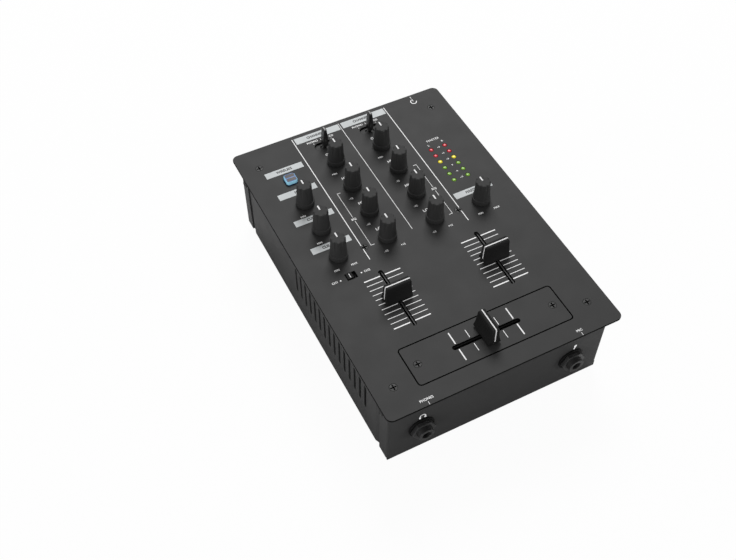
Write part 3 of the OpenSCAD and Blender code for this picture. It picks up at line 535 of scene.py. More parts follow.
def finish(name):
    """The material of a finish: the frame's own, or one made when it is first asked for."""
    found = bpy.data.materials.get(name)
    if found:
        return found
    colour_name, roughness, grain, depth, others = FINISHES[name]
    named = colour_name in MixerColours.__annotations__
    tint = getattr(colours(), colour_name) if named else linear(colour_name)
    material = surface(name, tint, roughness, grain, depth, **others)
    # Painted light: the white ink glows, so that it stays white where shadows fall on it
    if name == "ink":
        glowing(material, (1, 1, 1), INK_PAINTED_GLOW)
    # Painted light: the clear link button glows in its own colour
    if name == "button_clear":
        glowing(material, tint, BUTTON_PAINTED_GLOW)
    if name == "floor_finish":
        nearly_white(material)
    return material


def glowing(material, tint, strength):
    """Lets a material give off light in a colour: the lamps' own light, and a painted glow on the
    ink and the link button.
    """
    shader = material.node_tree.nodes["Principled BSDF"]
    shader.inputs["Emission Color"].default_value = (*tint, 1.0)
    shader.inputs["Emission Strength"].default_value = strength


def lit_dome(material, tint, strength):
    """Lights a lens, paler towards the top of its dome, which lies just over the plate."""
    glowing(material, tint, strength)
    nodes = material.node_tree.nodes
    shader = nodes["Principled BSDF"]
    place = nodes.new("ShaderNodeTexCoord")
    parts = nodes.new("ShaderNodeSeparateXYZ")
    height = nodes.new("ShaderNodeMapRange")
    height.inputs["From Min"].default_value = plate_top + 0.25 * MM
    height.inputs["From Max"].default_value = plate_top + 0.47 * MM
    glow = nodes.new("ShaderNodeMix")
    glow.data_type = "RGBA"
    pale = [0.9 * c + 0.1 for c in tint]
    glow.inputs["A"].default_value = (*tint, 1.0)
    glow.inputs["B"].default_value = (*pale, 1.0)
    wired(material.node_tree, (place, "Object", parts, "Vector"), (parts, "Z", height, "Value"),
          (height, "Result", glow, "Factor"), (glow, "Result", shader, "Base Color"),
          (glow, "Result", shader, "Emission Color"))


def nearly_white(material):
    """Makes the floor look nearly white to the camera, and keeps the object's shadow on it."""
    nodes = material.node_tree.nodes
    path = nodes.new("ShaderNodeLightPath")
    share = nodes.new("ShaderNodeMath")
    share.operation = "MULTIPLY"
    share.inputs[1].default_value = sizes().floor_white
    bright = nodes.new("ShaderNodeEmission")
    mix = nodes.new("ShaderNodeMixShader")
    wired(material.node_tree, (path, "Is Camera Ray", share, 0), (share, "Value", mix, "Fac"),
          (nodes["Principled BSDF"], "BSDF", mix, 1), (bright, "Emission", mix, 2),
          (mix, "Shader", nodes["Material Output"], "Surface"))


# ---- Printing ----

# Height of the font's capitals in units of its size, and the spacing of its letters
CAPITALS = 0.72
LETTER_SPACING = 1.04


def printed_text(words, x, y, height, align="CENTER", width=1.0, weight=1.0):
    """Words lying flat, their capitals of a height in mm, as a thin closed mesh.

    The letters are thickened as a mesh, because the font's own offset closes up an M.
    """
    clear_selection()
    bpy.ops.object.text_add()
    text = bpy.context.object
    text.data.body = words
    text.data.align_x = align
    text.data.align_y = "CENTER"
    text.data.resolution_u = 3
    text.data.extrude = sizes().print_thickness / 2
    text.data.space_character = LETTER_SPACING
    bpy.ops.object.convert(target="MESH")
    text = bpy.context.object
    fatter = weight * sizes().letter_weight
    half_thick = sizes().print_thickness / 2
    edit(text)
    bpy.ops.mesh.remove_doubles(threshold=1e-7)
    bpy.ops.transform.shrink_fatten(value=fatter, use_even_offset=True)
    bpy.ops.object.mode_set(mode="OBJECT")
    scale = height * MM / CAPITALS
    text.scale = (scale * width, scale, half_thick / (half_thick + fatter))
    text.location = (x * MM, y * MM, half_thick)
    bpy.ops.object.transform_apply(location=True, rotation=True, scale=True)
    return text


def printed_bar(x0, x1, y0, y1, turn=0.0, corner=0.0):
    """A flat printed bar between corners in mm, turned about its middle."""
    thick = sizes().print_thickness / MM
    half_x, half_y = (x1 - x0) / 2, (y1 - y0) / 2
    bar = stacked("bar", [(half_x, half_y, 0), (half_x, half_y, thick)], sides=4)
    if corner:
        edit(bar)
        select_edges(bar, lambda a, b: abs(a.z - b.z) > thick * MM / 2)
        bpy.ops.mesh.bevel(offset=corner * MM, segments=4, affect="EDGES")
        bpy.ops.object.mode_set(mode="OBJECT")
    return placed(bar, ((x0 + x1) / 2 * MM, (y0 + y1) / 2 * MM, 0), (0, 0, math.radians(turn)))


def printed_dot(x, y, radius):
    """A flat printed dot."""
    thick = sizes().print_thickness / MM
    return placed(turned("dot", [(radius, 0), (radius, thick)], sides=20), (x * MM, y * MM, 0))


def printed_arc(x, y, radius, line, start, end):
    """A flat printed arc of a line width in mm, between two angles in degrees."""
    clear_selection()
    bpy.ops.mesh.primitive_circle_add(vertices=72, radius=radius * MM, fill_type="NOTHING")
    arc = bpy.context.object
    edit(arc)

    def outside(place):
        angle = math.degrees(math.atan2(place.y, place.x)) % 360
        return not start - 0.1 <= angle <= end + 0.1

    select_vertices(arc, outside)
    bpy.ops.mesh.delete(type="VERT")
    bpy.ops.mesh.select_all(action="SELECT")
    outer = (radius + line / 2) / radius
    inner = (radius - line / 2) / (radius + line / 2)
    bpy.ops.transform.resize(value=(outer, outer, 1), center_override=(0, 0, 0))
    bpy.ops.mesh.extrude_region_move(TRANSFORM_OT_translate={"value": (0, 0, 0)})
    bpy.ops.transform.resize(value=(inner, inner, 1), center_override=(0, 0, 0))
    bpy.ops.mesh.select_all(action="SELECT")
    rise = (0, 0, sizes().print_thickness)
    bpy.ops.mesh.extrude_region_move(TRANSFORM_OT_translate={"value": rise})
    bpy.ops.mesh.select_all(action="SELECT")
    bpy.ops.mesh.normals_make_consistent(inside=False)
    bpy.ops.object.mode_set(mode="OBJECT")
    return placed(arc, (x * MM, y * MM, 0))


def on_plate(piece, lift=0.0):
    """Lays flat work, drawn from the plate's front left corner, on the plate."""
    return placed(piece, (plate_low.x, plate_low.y, plate_top + lift))


def on_front(piece):
    """Stands flat work, drawn from the plate's left edge and top, on the front panel."""
    return placed(piece, (plate_low.x, front_face, plate_top), (math.pi / 2, 0, 0))


def on_rear(piece):
    """Stands flat work on the rear panel, drawn as seen from behind."""
    return placed(piece, (plate_high.x, rear_face, plate_top), (math.pi / 2, 0, math.pi))


# ---- Camera ----

CAMERA_PLACE = (-0.22671, -0.37391, 0.58142)
CAMERA_TURN = (37.58, 0, -27.03)
CAMERA_LENS = 48.2


class MIXER_OT_camera(bpy.types.Operator):
    """Puts the camera in front of the left corner, looking down on the plate"""

    bl_idname = "mixer.camera"
    bl_label = "Camera"

    def execute(self, context):
        clear_selection()
        turn = [math.radians(angle) for angle in CAMERA_TURN]
        bpy.ops.object.camera_add(location=CAMERA_PLACE, rotation=turn)
        camera = context.object
        camera.name = "studio_camera"
        camera.data.sensor_width = 36
        camera.data.sensor_fit = "HORIZONTAL"
        camera.data.lens = CAMERA_LENS
        camera.data.clip_start = 0.01
        context.scene.camera = camera
        return {"FINISHED"}


# ---- Case ----

def joggle_slope(side, end):
    """The slope of the sheet from a side of the tray down to the tab behind a flange."""
    low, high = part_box("bottom_tray")
    half_sheet, half_run, joggle = 0.55, 1.3, 1.05
    start = high.y / MM - 14.1
    slope = stacked("slope", [(half_sheet, half_run, low.z / MM + 1.5),
                              (half_sheet, half_run, plate_top / MM - UNDER_PLATE)], sides=4)
    edit(slope)
    select_vertices(slope, lambda p: p.x * side > 0 and p.y * end > 0)
    bpy.ops.transform.translate(value=(-side * joggle * MM, 0, 0))
    bpy.ops.object.mode_set(mode="OBJECT")
    return placed(slope, (side * (high.x - half_sheet * MM), end * (start + half_run) * MM, 0))


class MIXER_OT_case(bpy.types.Operator):
    """Rounds the cut and folded edges of the painted steel"""

    bl_idname = "mixer.case"
    bl_label = "Steel case"

    def execute(self, context):
        for node in ("top_plate", "crossfader_plate"):
            plate = softened(node, node + "_steel", sizes().sheet_edge)
            painted(plate, "powder_coat", "edge_and_recess_shade")
            # Painted shade: every face of the plate that is not level, its rounded edges and the
            # walls of its holes and slots, takes the near-black finish
            for face in plate.data.polygons:
                face.material_index = int(abs(face.normal.z) < 0.95)
            fitted(plate, "case", "black_steel", node)
        for node, share in (("front_panel", 1.0), ("rear_panel", 1.0), ("bottom_tray", 0.6)):
            panel = softened(node, node + "_steel", share * sizes().sheet_edge, clamped=True)
            painted(panel, "powder_coat")
            fitted(panel, "case", "black_steel", node)
        slopes = [joggle_slope(side, end) for side in (-1, 1) for end in (-1, 1)]
        fitted(painted(joined("joggle_slopes", slopes), "powder_coat"), "case", "black_steel")
        return {"FINISHED"}


def cross_cutters(half_length, half_width, top, depth):
    """Two tapered blades for a cross recess."""
    blades = []
    for turn in (0, math.pi / 2):
        blade = stacked("blade", [(0.5 * half_length, 0.6 * half_width, top - depth),
                                  (half_length, half_width, top),
                                  (half_length, half_width, top + 1)], sides=4)
        blades.append(placed(blade, turn=(0, 0, turn)))
    return blades


def screw_pattern(name, outline, top):
    """A screw on Z with a cross recess, from its outline in mm."""
    recess_reach, recess_half_width, recess_depth = 2.15, 0.44, 1.3
    screw = turned(name, outline, sides=40)
    blades = cross_cutters(recess_reach, recess_half_width, top, recess_depth)
    for blade in blades:
        cut(screw, blade)
    discarded(blades)
    painted(screw, "blackened_screw", "edge_and_recess_shade")
    # Painted shade: the faces sunk in the cross recess take the near-black finish
    for face in screw.data.polygons:
        inside = math.hypot(face.center.x, face.center.y) < (recess_reach + 0.05) * MM
        sunk = top - recess_depth - 0.1 < face.center.z / MM < top - 0.05
        face.material_index = int(sunk and inside)
    return smoothed(screw, 25)


class MIXER_OT_screws(bpy.types.Operator):
    """Turns the countersunk plate screws and the pan head case screws"""

    bl_idname = "mixer.screws"
    bl_label = "Screws"

    def execute(self, context):
        flush = screw_pattern("flush_screw", [
            (1.2, -6), (1.45, -5.7), (1.45, -1.35), (2.5, -0.4), (2.6, -0.26), (2.58, -0.12),
            (2.45, -0.04), (1.8, -0.01), (0.8, 0)], 0)
        heads = []
        for low, high in solids_of("plate_screws"):
            middle = (low + high) / 2
            heads.append(placed(copied(flush, "screw"), (middle.x, middle.y, high.z)))
        plate_screws = joined("plate_screw_set", heads)
        fitted(plate_screws, "case", "black_screw", "plate_screws")
        discarded([flush])
        case_screws = softened("case_screws", "case_screw_set", 0.12 * MM)
        painted(case_screws, "blackened_screw")
        fitted(case_screws, "case", "black_screw", "case_screws")
        return {"FINISHED"}


class MIXER_OT_feet(bpy.types.Operator):
    """Turns the rubber feet with a rounded tread and a sunk middle"""

    bl_idname = "mixer.feet"
    bl_label = "Feet"

    def execute(self, context):
        feet = []
        for low, high in solids_of("feet"):
            radius = (high.x - low.x) / 2 / MM
            height = (high.z - low.z) / MM
            foot = turned("foot", [
                (1.2, 1.6), (1.9, 1.6), (2.2, 0.9), (2.6, 0.15), (3.0, 0.0), (radius - 1.4, 0),
                (radius - 0.7, 0.25), (radius - 0.25, 0.9), (radius - 0.1, 1.6),
                (radius, height - 0.2), (radius - 0.2, height)], sides=48)
            middle = (low + high) / 2
            feet.append(placed(foot, (middle.x, middle.y, low.z)))
        pads = smoothed(painted(joined("rubber_feet", feet), "foot_rubber"))
        fitted(pads, "case", "foot_rubber", "feet")
        return {"FINISHED"}


# ---- Knobs ----

KNOB_NAMES = ("microphone", "cue_mix", "cue_level", "channel_1_gain", "channel_1_high",
              "channel_1_mid", "channel_1_low", "channel_2_gain", "channel_2_high",
              "channel_2_mid", "channel_2_low", "master")
KNOB_NODES = {name + "_knob": name + "_control" for name in KNOB_NAMES}

FLUTES = 8
KNOB_SIDES = 16 * FLUTES
KNOB_SPAN = (13.2, 19.1)

# Radius and height of each level ring of a knob of that width and height, in mm
KNOB_SKIN = (
    (5.95, 0.0), (6.25, 0.2), (6.48, 0.8), (6.58, 1.9), (6.6, 3.2), (6.58, 4.1), (6.48, 4.2),
    (6.02, 4.32), (5.98, 4.46), (5.95, 5.1), (5.86, 6.2), (5.75, 7.4), (5.63, 8.8), (5.52, 10.4),
    (5.43, 12.2), (5.35, 14.2), (5.3, 16.0), (5.26, 17.6), (5.22, 18.4))
# The rim goes on with the radius and height that its rings fall to in a flute
KNOB_RIM = (
    (5.14, 18.82, 4.66, 18.4), (4.97, 19.0, 4.54, 18.56), (4.7, 19.05, 4.38, 18.72),
    (4.2, 19.03, 4.04, 18.86), (3.6, 18.99, 3.56, 18.93))
KNOB_CROWN = ((2.6, 18.95), (1.6, 18.93), (0.8, 18.92))
# The heights that hold the ledge between a knob's skirt and its grip, whose faces take a lighter
# grey as a painted highlight
KNOB_HIGHLIGHT_HEIGHTS = (4.08, 4.34)
FLUTE_START = 7.4
FLUTE_TOP = 18.4
FLUTE_DEPTH = 0.56
FLUTE_HALF_ANGLE = 12.4


def flute_angle(place):
    """How far a point lies from the middle of the nearest flute, in degrees."""
    pitch = 360 / FLUTES
    turn = math.degrees(math.atan2(place.x, place.y)) % pitch
    return min(turn, pitch - turn)


def drawn_in(knob, ring, goal, share):
    """Moves the flute's part of one level ring towards the radius and height of its floor.

    The share says how far a point goes, from its angle off the middle of the flute.
    """
    radius, height = ring
    step = 360 / KNOB_SIDES
    for k in range(math.ceil(FLUTE_HALF_ANGLE / step)):
        angle = k * step
        part = share(angle)
        if part <= 0:
            continue

        def in_flute(p):
            level = abs(p.z - height * MM) < 2e-6
            there = abs(math.hypot(p.x, p.y) - radius * MM) < 2e-6
            return level and there and abs(flute_angle(p) - angle) < step / 4

        select_vertices(knob, in_flute)
        shrink = 1 + (goal[0] / radius - 1) * part
        bpy.ops.transform.resize(value=(shrink, shrink, 1), center_override=(0, 0, 0))
        bpy.ops.transform.translate(value=(0, 0, (goal[1] - height) * part * MM))


def fluted(knob):
    """Cuts the flutes: narrow, and both deeper and wider towards the top."""
    edit(knob)
    for radius, height in KNOB_SKIN:
        if height <= FLUTE_START:
            continue
        rise = (height - FLUTE_START) / (FLUTE_TOP - FLUTE_START)
        reach = FLUTE_HALF_ANGLE * rise ** 0.7
        drawn_in(knob, (radius, height), (radius - FLUTE_DEPTH * rise, height),
                 lambda angle: 1 - (angle / reach) ** 2)
    for radius, height, floor_radius, floor_height in KNOB_RIM:
        drawn_in(knob, (radius, height), (floor_radius, floor_height),
                 lambda angle: 1 - (angle / FLUTE_HALF_ANGLE) ** 2)
    bpy.ops.object.mode_set(mode="OBJECT")


def knob_pointer():
    """The white line from the middle of a knob's top out to its rim."""
    half = sizes().pointer_width / MM / 2
    line = stacked("pointer", [(half, 1.9, 17.6), (half, 1.9, 19.02)], sides=4)
    edit(line)
    select_vertices(line, lambda p: p.z > 18 * MM and p.y > 0)
    bpy.ops.transform.translate(value=(0, 0, 0.07 * MM))
    bpy.ops.object.mode_set(mode="OBJECT")
    placed(line, (0, 2.85 * MM, 0))
    return smoothed(eased(line, 0.1 * MM))


def knob_pattern():
    """One knob with its foot at z = 0 and its pointer to the rear."""
    rim = tuple(ring[:2] for ring in KNOB_RIM)
    knob = turned("knob", KNOB_SKIN + rim + KNOB_CROWN, sides=KNOB_SIDES)
    fluted(knob)
    painted(smoothed(knob, 32), "knob_plastic", "knob_ledge_highlight")
    # Painted highlight: the faces of the ledge take a lighter grey
    lowest, highest = KNOB_HIGHLIGHT_HEIGHTS
    for face in knob.data.polygons:
        face.material_index = int(lowest * MM < face.center.z < highest * MM)
    knob = joined("knob_pattern", [knob, painted(knob_pointer(), "pointer_plastic")])
    across = sizes().knob_width / (KNOB_SPAN[0] * MM)
    knob.scale = (across, across, sizes().knob_height / (KNOB_SPAN[1] * MM))
    return placed(knob)


def shaft_pattern(low, high):
    """The steel shaft under a knob, between two heights in mm."""
    shaft = turned("shaft", [(2.7, low), (3.0, low + 0.3), (3.0, high)], sides=32)
    return painted(smoothed(shaft), "plain_steel")


class MIXER_OT_knobs(bpy.types.Operator):
    """Models one fluted knob and puts a copy on each rotary control"""

    bl_idname = "mixer.knobs"
    bl_label = "Knobs"

    def execute(self, context):
        pattern = knob_pattern()
        for node, body in KNOB_NODES.items():
            low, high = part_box(node)
            middle = (low + high) / 2
            foot = high.z - sizes().knob_height
            knob = placed(copied(pattern, node + "_cap"), (middle.x, middle.y, foot))
            shaft = placed(shaft_pattern(low.z / MM, foot / MM + 2), (middle.x, middle.y, 0))
            knob = joined(node + "_cap", [knob, shaft])
            fitted(knob, body, "knob_plastic", node)
        discarded([pattern])
        return {"FINISHED"}


# ---- Faders ----

CAP_NODES = {
    "channel_1_fader_cap": ("channel_1_fader", 0.0),
    "channel_2_fader_cap": ("channel_2_fader", 0.0),
    "crossfader_cap": ("crossfader", math.pi / 2),
}

# Half the width of a fader cap's waist in mm
CAP_WAIST = 2.55

# The felt under a fader's slot: its half length, half width and corner, and its slit's
FELT_SHEET = (26.7, 3.2, 1.5, 24.6, 0.68, 0.1)


def cap_body():
    """A fader cap with its ridge along X and its foot at z = 0: a waisted wedge."""
    half = sizes().cap_length / MM / 2
    foot = sizes().cap_foot / MM / 2
    height = sizes().cap_height / MM
    steps = 8
    rings = [(half + 0.2, foot - 0.35, 0), (half + 0.42, foot - 0.05, 0.25),
             (half + 0.45, foot, 0.7), (half + 0.42, foot - 0.12, 1.4)]
    for k in range(1, steps + 1):
        share = k / steps
        rings.append((half + 0.42 - 0.4 * share,
                      CAP_WAIST + (foot - 0.3 - CAP_WAIST) * (1 - share) ** 2.3,
                      1.4 + (height - 2.6) * share))
    rings += [(half - 0.02, CAP_WAIST - 0.03, height - 1.15),
              (half - 0.12, CAP_WAIST - 0.12, height - 0.72),
              (half - 0.3, 2.1, height - 0.16), (half - 0.36, 1.75, height)]
    cap = stacked("cap", rings, sides=4)
    eased(cap, 0.16 * MM, segments=3, angle=24)
    return painted(smoothed(cap, 30), "cap_plastic")


def cap_line():
    """The white line over a cap's ridge and down its two ends, as a thin bent strip."""
    half = sizes().cap_length / MM / 2
    height = sizes().cap_height / MM
    path = [(-half - 0.36, 2.6), (-half - 0.02, height - 1.0), (-half + 0.3, height + 0.03),
            (half - 0.3, height + 0.03), (half + 0.02, height - 1.0), (half + 0.36, 2.6)]
    clear_selection()
    bpy.ops.mesh.primitive_plane_add(size=1.0 * MM)
    line = bpy.context.object
    edit(line)
    select_vertices(line, lambda p: p.x > 0)
    bpy.ops.mesh.delete(type="VERT")
    bpy.ops.mesh.select_all(action="SELECT")
    start_x, start_z = path[0]
    bpy.ops.transform.translate(value=(start_x * MM + 0.5 * MM, 0, start_z * MM))
    bpy.ops.transform.resize(value=(1, sizes().cap_line / MM, 1), center_override=(0, 0, 0))
    for (x0, z0), (x1, z1) in zip(path, path[1:]):
        step = ((x1 - x0) * MM, 0, (z1 - z0) * MM)
        bpy.ops.mesh.extrude_region_move(TRANSFORM_OT_translate={"value": step})
    edit(modified(line, "SOLIDIFY", thickness=0.2 * MM, offset=0.0))
    bpy.ops.mesh.normals_make_consistent(inside=False)
    bpy.ops.object.mode_set(mode="OBJECT")
    return painted(smoothed(line), "pointer_plastic")


class MIXER_OT_fader_caps(bpy.types.Operator):
    """Models one fader cap and puts a copy on each fader, with a felt under each slot"""

    bl_idname = "mixer.fader_caps"
    bl_label = "Fader caps"

    def execute(self, context):
        pattern = joined("cap_pattern", [cap_body(), cap_line()])
        for node, (body, turn) in CAP_NODES.items():
            low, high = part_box(node)
            middle = (low + high) / 2
            cap = placed(copied(pattern, node + "_moulding"), (middle.x, middle.y, low.z),
                         (0, 0, turn))
            fitted(cap, body, "knob_plastic", node)
            felt = slotted_sheet(node + "_felt", *FELT_SHEET)
            # The channel faders' felt is painted lighter, as painted light against the shade in
            # their slots
            painted(felt, "slot_felt" if turn else "felt_painted_lighter")
            placed(felt, (middle.x, middle.y, 0), (0, 0, math.pi / 2 - turn))
            fitted(felt, "case", "dark_plastic")
        discarded([pattern])
        return {"FINISHED"}


# ---- Switches ----

LEVER_NODES = {
    "channel_1_source_lever": "channel_1_source",
    "channel_2_source_lever": "channel_2_source",
}

# Height of a source lever's pivot over its lowest point in mm
LEVER_PIVOT = 2.2

# The cover under a lever's hole: its half length, half width and corner, and its slot's
COVER_SHEET = (8.4, 4.3, 4.0, 3.4, 1.9, 1.0)


def lever_pattern(low, high):
    """A polished source lever between two heights in mm.

    Its blade is broad from the front to the rear and stands on a hub that turns with it. Under
    the plate it carries a shutter that fills the slot in the cover.
    """
    top = plate_top / MM
    blade = stacked("blade", [
        (1.0, 1.3, low + 1.6), (1.0, 1.4, top - 3), (1.1, 1.5, top - 0.6), (1.8, 2.5, top + 0.9),
        (2.0, 2.75, top + 2), (1.95, 2.8, top + 4), (1.85, 2.8, top + 6), (1.75, 2.78, top + 8),
        (1.65, 2.7, top + 10), (1.5, 2.6, top + 12), (1.35, 2.45, top + 14),
        (1.2, 2.3, high - 2.2), (1.0, 2.15, high - 1.6), (0.75, 2.0, high - 1.35)], sides=4)
    eased(blade, 0.7 * MM, segments=4, angle=40)
    painted(smoothed(blade, 50), "lever_plastic")
    hub = turned("hub", [(1.9, -1.8), (2.2, -1.5), (2.2, 1.5), (1.9, 1.8)], sides=32)
    pivot = low + LEVER_PIVOT
    placed(hub, (0, 0, pivot * MM), (math.pi / 2, 0, 0))
    painted(smoothed(hub), "lever_plastic")
    shutter = stacked("shutter", [
        (3.4, 1.75, pivot + 4.5), (3.55, 1.75, pivot + 4.8), (2.8, 1.75, pivot + 5.3),
        (1.94, 1.75, pivot + 5.68), (1.1, 1.75, pivot + 5.88), (0.4, 1.7, pivot + 5.97)], sides=4)
    painted(smoothed(shutter, 50), "dust_cover")
    stripe = stacked("stripe", [(0.55, 2.1, high - 2.2), (0.55, 2.0, high - 1.5),
                                (0.5, 1.75, high - 1.2)], sides=4)
    painted(smoothed(eased(stripe, 0.08 * MM)), "stripe_grey")
    return joined("lever_pattern", [blade, hub, shutter, stripe])


def slotted_sheet(name, half_x, half_y, corner, slot_x, slot_y, slot_corner):
    """A thin sheet close under the plate, with a slot in it for whatever moves there."""
    under = plate_top / MM - UNDER_PLATE
    sheet = rounded_block(name, half_x, half_y, under - 0.3, under, corner)
    slot = rounded_block("slot", slot_x, slot_y, under - 1, under + 1, slot_corner)
    cut(sheet, slot)
    discarded([slot])
    return smoothed(sheet)


class MIXER_OT_source_levers(bpy.types.Operator):
    """Models the source levers with a grey stripe on the top, and the covers under their holes"""

    bl_idname = "mixer.source_levers"
    bl_label = "Source levers"

    def execute(self, context):
        for node, body in LEVER_NODES.items():
            low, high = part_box(node)
            middle = (low + high) / 2
            lever = lever_pattern(low.z / MM, high.z / MM)
            placed(lever, (middle.x, middle.y, 0))
            lever.name = node + "_moulding"
            fitted(lever, body, "gloss_black", node)
            cover = slotted_sheet(node + "_cover", *COVER_SHEET)
            placed(painted(cover, "dust_cover"), (middle.x, middle.y, 0))
            fitted(cover, "case", "dark_plastic")
        return {"FINISHED"}


class MIXER_OT_cue_switch(bpy.types.Operator):
    """Softens the cue switch's slider and lays a white line over it"""

    bl_idname = "mixer.cue_switch"
    bl_label = "Cue switch"

    def execute(self, context):
        node = "cue_switch_slider"
        low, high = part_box(node)
        middle = (low + high) / 2
        slider = painted(softened(node, "slider", 0.2 * MM), "cap_plastic")
        half_width, half_depth, top = 0.26, 1.7, high.z / MM
        line = stacked("line", [(half_width, half_depth, top - 0.2),
                                (half_width, half_depth, top + 0.03)], sides=4)
        placed(painted(line, "pointer_plastic"), (middle.x, middle.y, 0))
        slider = joined("cue_switch_cap", [slider, line])
        fitted(slider, "cue_switch", "knob_plastic", node)
        return {"FINISHED"}


class MIXER_OT_link_button(bpy.types.Operator):
    """Models the clear link button with its printed bands and deep blue foot"""

    bl_idname = "mixer.link_button"
    bl_label = "Link button"

    def execute(self, context):
        node = "link_button"
        low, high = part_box(node)
        middle = (low + high) / 2
        half = (high.x - low.x) / 2 / MM
        top = high.z / MM
        bottom, seam = plate_top / MM - 4, plate_top / MM + 0.35
        foot = rounded_block("foot", half, half, bottom, seam, 2.0)
        painted(foot, "button_base")
        cap = rounded_block("cap", half - 0.1, half - 0.1, seam, top, 1.9, edge=0.7)
        # The clear sides glow as painted light; the top faces take a deeper blue that does not
        # glow
        painted(smoothed(cap), "button_clear", "button_face")
        for face in cap.data.polygons:
            face.material_index = int(face.normal.z > 0.8)
        bands = []
        for side in (-1, 1):
            band = rounded_block("band", half - 0.85, 1.5, top - 0.1, top + 0.02, 0.6)
            placed(band, (0, side * 1.85 * MM, 0))
            bands.append(painted(smoothed(band), "button_band"))
        stem = turned("stem", [(2.2, low.z / MM), (2.2, bottom)], sides=24)
        painted(smoothed(stem), "button_base")
        button = joined("link_button_cap", [cap, foot, stem] + bands)
        placed(button, (middle.x, middle.y, 0))
        fitted(button, "link_key", "button_blue", node)
        return {"FINISHED"}


# ---- Lamps ----

# The finish of the lamps of each node, their colour and how strongly they shine
LAMPS = {
    "red_lamps": ("red_lens", "red_lamp", 0.17),
    "yellow_lamps": ("yellow_lens", "yellow_lamp", 0.36),
    "green_lamps": ("green_lens", "green_lamp", 0.1),
}

# Radius of a lens's dome as a share of the lens, and its rise in mm
DOME_SHARE = 0.76
DOME_RISE = 0.6


class MIXER_OT_level_lamps(bpy.types.Operator):
    """Turns the domed lenses of the level lamps"""

    bl_idname = "mixer.level_lamps"
    bl_label = "Level lamps"

    def execute(self, context):
        steps = 8
        dome = plate_top / MM - 0.15
        for node, (lens_finish, colour_name, strength) in LAMPS.items():
            lit_dome(finish(lens_finish), getattr(colours(), colour_name), strength)
            lenses = []
            for low, high in solids_of(node):
                radius = (high.x - low.x) / 2 / MM
                base = low.z / MM
                outline = [(radius * 0.9, base), (radius, base + 0.2), (radius, dome - 0.3)]
                for k in range(steps):
                    angle = math.pi / 2 * k / steps
                    outline.append((DOME_SHARE * radius * math.cos(angle),
                                    dome + DOME_RISE * math.sin(angle)))
                lens = turned("lens", outline, sides=32)
                middle = (low + high) / 2
                lenses.append(placed(lens, (middle.x, middle.y, 0)))
            lamps = smoothed(painted(joined(node + "_lenses", lenses), lens_finish), 50)
            fitted(lamps, "case", lens_finish, node)
        return {"FINISHED"}


# ---- Sockets ----

class MIXER_OT_front_sockets(bpy.types.Operator):
    """Softens the phones and microphone sockets, their washers and their nuts"""

    bl_idname = "mixer.front_sockets"
    bl_label = "Front sockets"

    def execute(self, context):
        # The washers take a finish darkened as painted shade
        finishes = {"phones_jack": "socket_plastic", "microphone_jack": "socket_plastic",
                    "jack_nuts": "socket_plastic", "jack_washers": "washer_darkened_as_shade"}
        for node, finish_name in finishes.items():
            piece = painted(softened(node, node + "_moulding", 0.3 * MM), finish_name)
            fitted(piece, "case", "dark_plastic", node)
        return {"FINISHED"}


# The body of each rear node, its finish, its slot and the rounding of its edges in mm
REAR_FINISHES = {
    "phono_blocks": ("case", "dark_plastic", "dark_plastic", 0.2),
    "phono_shells": ("case", "nickel", "nickel", 0.12),
    "phono_white_inserts": ("case", "phono_white", "phono_white", 0.15),
    "phono_red_inserts": ("case", "phono_red", "phono_red", 0.15),
    "ground_post": ("case", "nickel", "nickel", 0.1),
    "ground_nut": ("ground_terminal_nut", "nickel", "nickel", 0.1),
    "supply_inlet": ("case", "dark_plastic", "dark_plastic", 0.2),
    "power_switch_frame": ("case", "dark_plastic", "dark_plastic", 0.25),
    "power_rocker": ("power_key", "lever_plastic", "gloss_black", 0.3),
}


class MIXER_OT_rear_sockets(bpy.types.Operator):
    """Softens the phono sockets, ground terminal, supply inlet and power switch"""

    bl_idname = "mixer.rear_sockets"
    bl_label = "Rear sockets"

    def execute(self, context):
        for node, (body, finish_name, slot, edge) in REAR_FINISHES.items():
            piece = painted(softened(node, node + "_finish", edge * MM), finish_name)
            fitted(piece, body, slot, node)
        return {"FINISHED"}


# ---- Inside ----

# The nodes that do not take the finish of their slot
INNER_FINISHES = {"source_switch_bodies": "dust_cover", "fader_frames": "blackened_frame"}


class MIXER_OT_inside(bpy.types.Operator):
    """Gives every frame node that still shows the finish of its slot"""

    bl_idname = "mixer.inside"
    bl_label = "Inner parts"

    def execute(self, context):
        for part in frame["record"]["subparts"]:
            node = frame["nodes"][part["node"]]
            slot_name = part["material_slot"]
            usual = SLOT_FINISHES.get(slot_name, slot_name)
            material = finish(INNER_FINISHES.get(part["node"], usual))
            if not node.material_slots:
                node.data.materials.append(material)
            for slot in node.material_slots:
                slot.material = material
        return {"FINISHED"}


# ---- Plate printing ----

# The label bars as (their left, right, front and rear edges), the middle of the words, the words
LABELS = (
    ((14.8, 43.8, 214.1, 219.5), 29.3, "WIRELESS"),
    ((14.8, 43.8, 191.0, 196.4), 29.5, "MIC"),
    ((14.8, 43.8, 163.7, 169.0), 29.5, "CUE MIX"),
    ((14.8, 43.8, 136.4, 141.8), 29.5, "CUE LEVEL"),
    ((125.7, 155.3, 136.3, 141.7), 139.6, "MASTER"),
    ((48.3, 84.2, 236.3, 242.5), 65.0, "CHANNEL 1"),
    ((86.4, 122.2, 236.3, 242.5), 103.2, "CHANNEL 2"),
)
KNOB_COLUMNS = (29.5, 66.5, 103.5, 140.5)
KNOB_ROWS = (128.0, 154.6, 181.2, 207.8)
CHANNEL_NAMES = ("LOW", "MID", "HIGH", "GAIN")
GAIN_ENDS = ("MIN", "MAX")
TONE_ENDS = ("-12", "+12")
SLOT_COLUMNS = (48.2, 121.8)


def label_bars():
    """The pale bars behind the labels."""
    return [printed_bar(*label[0]) for label in LABELS]


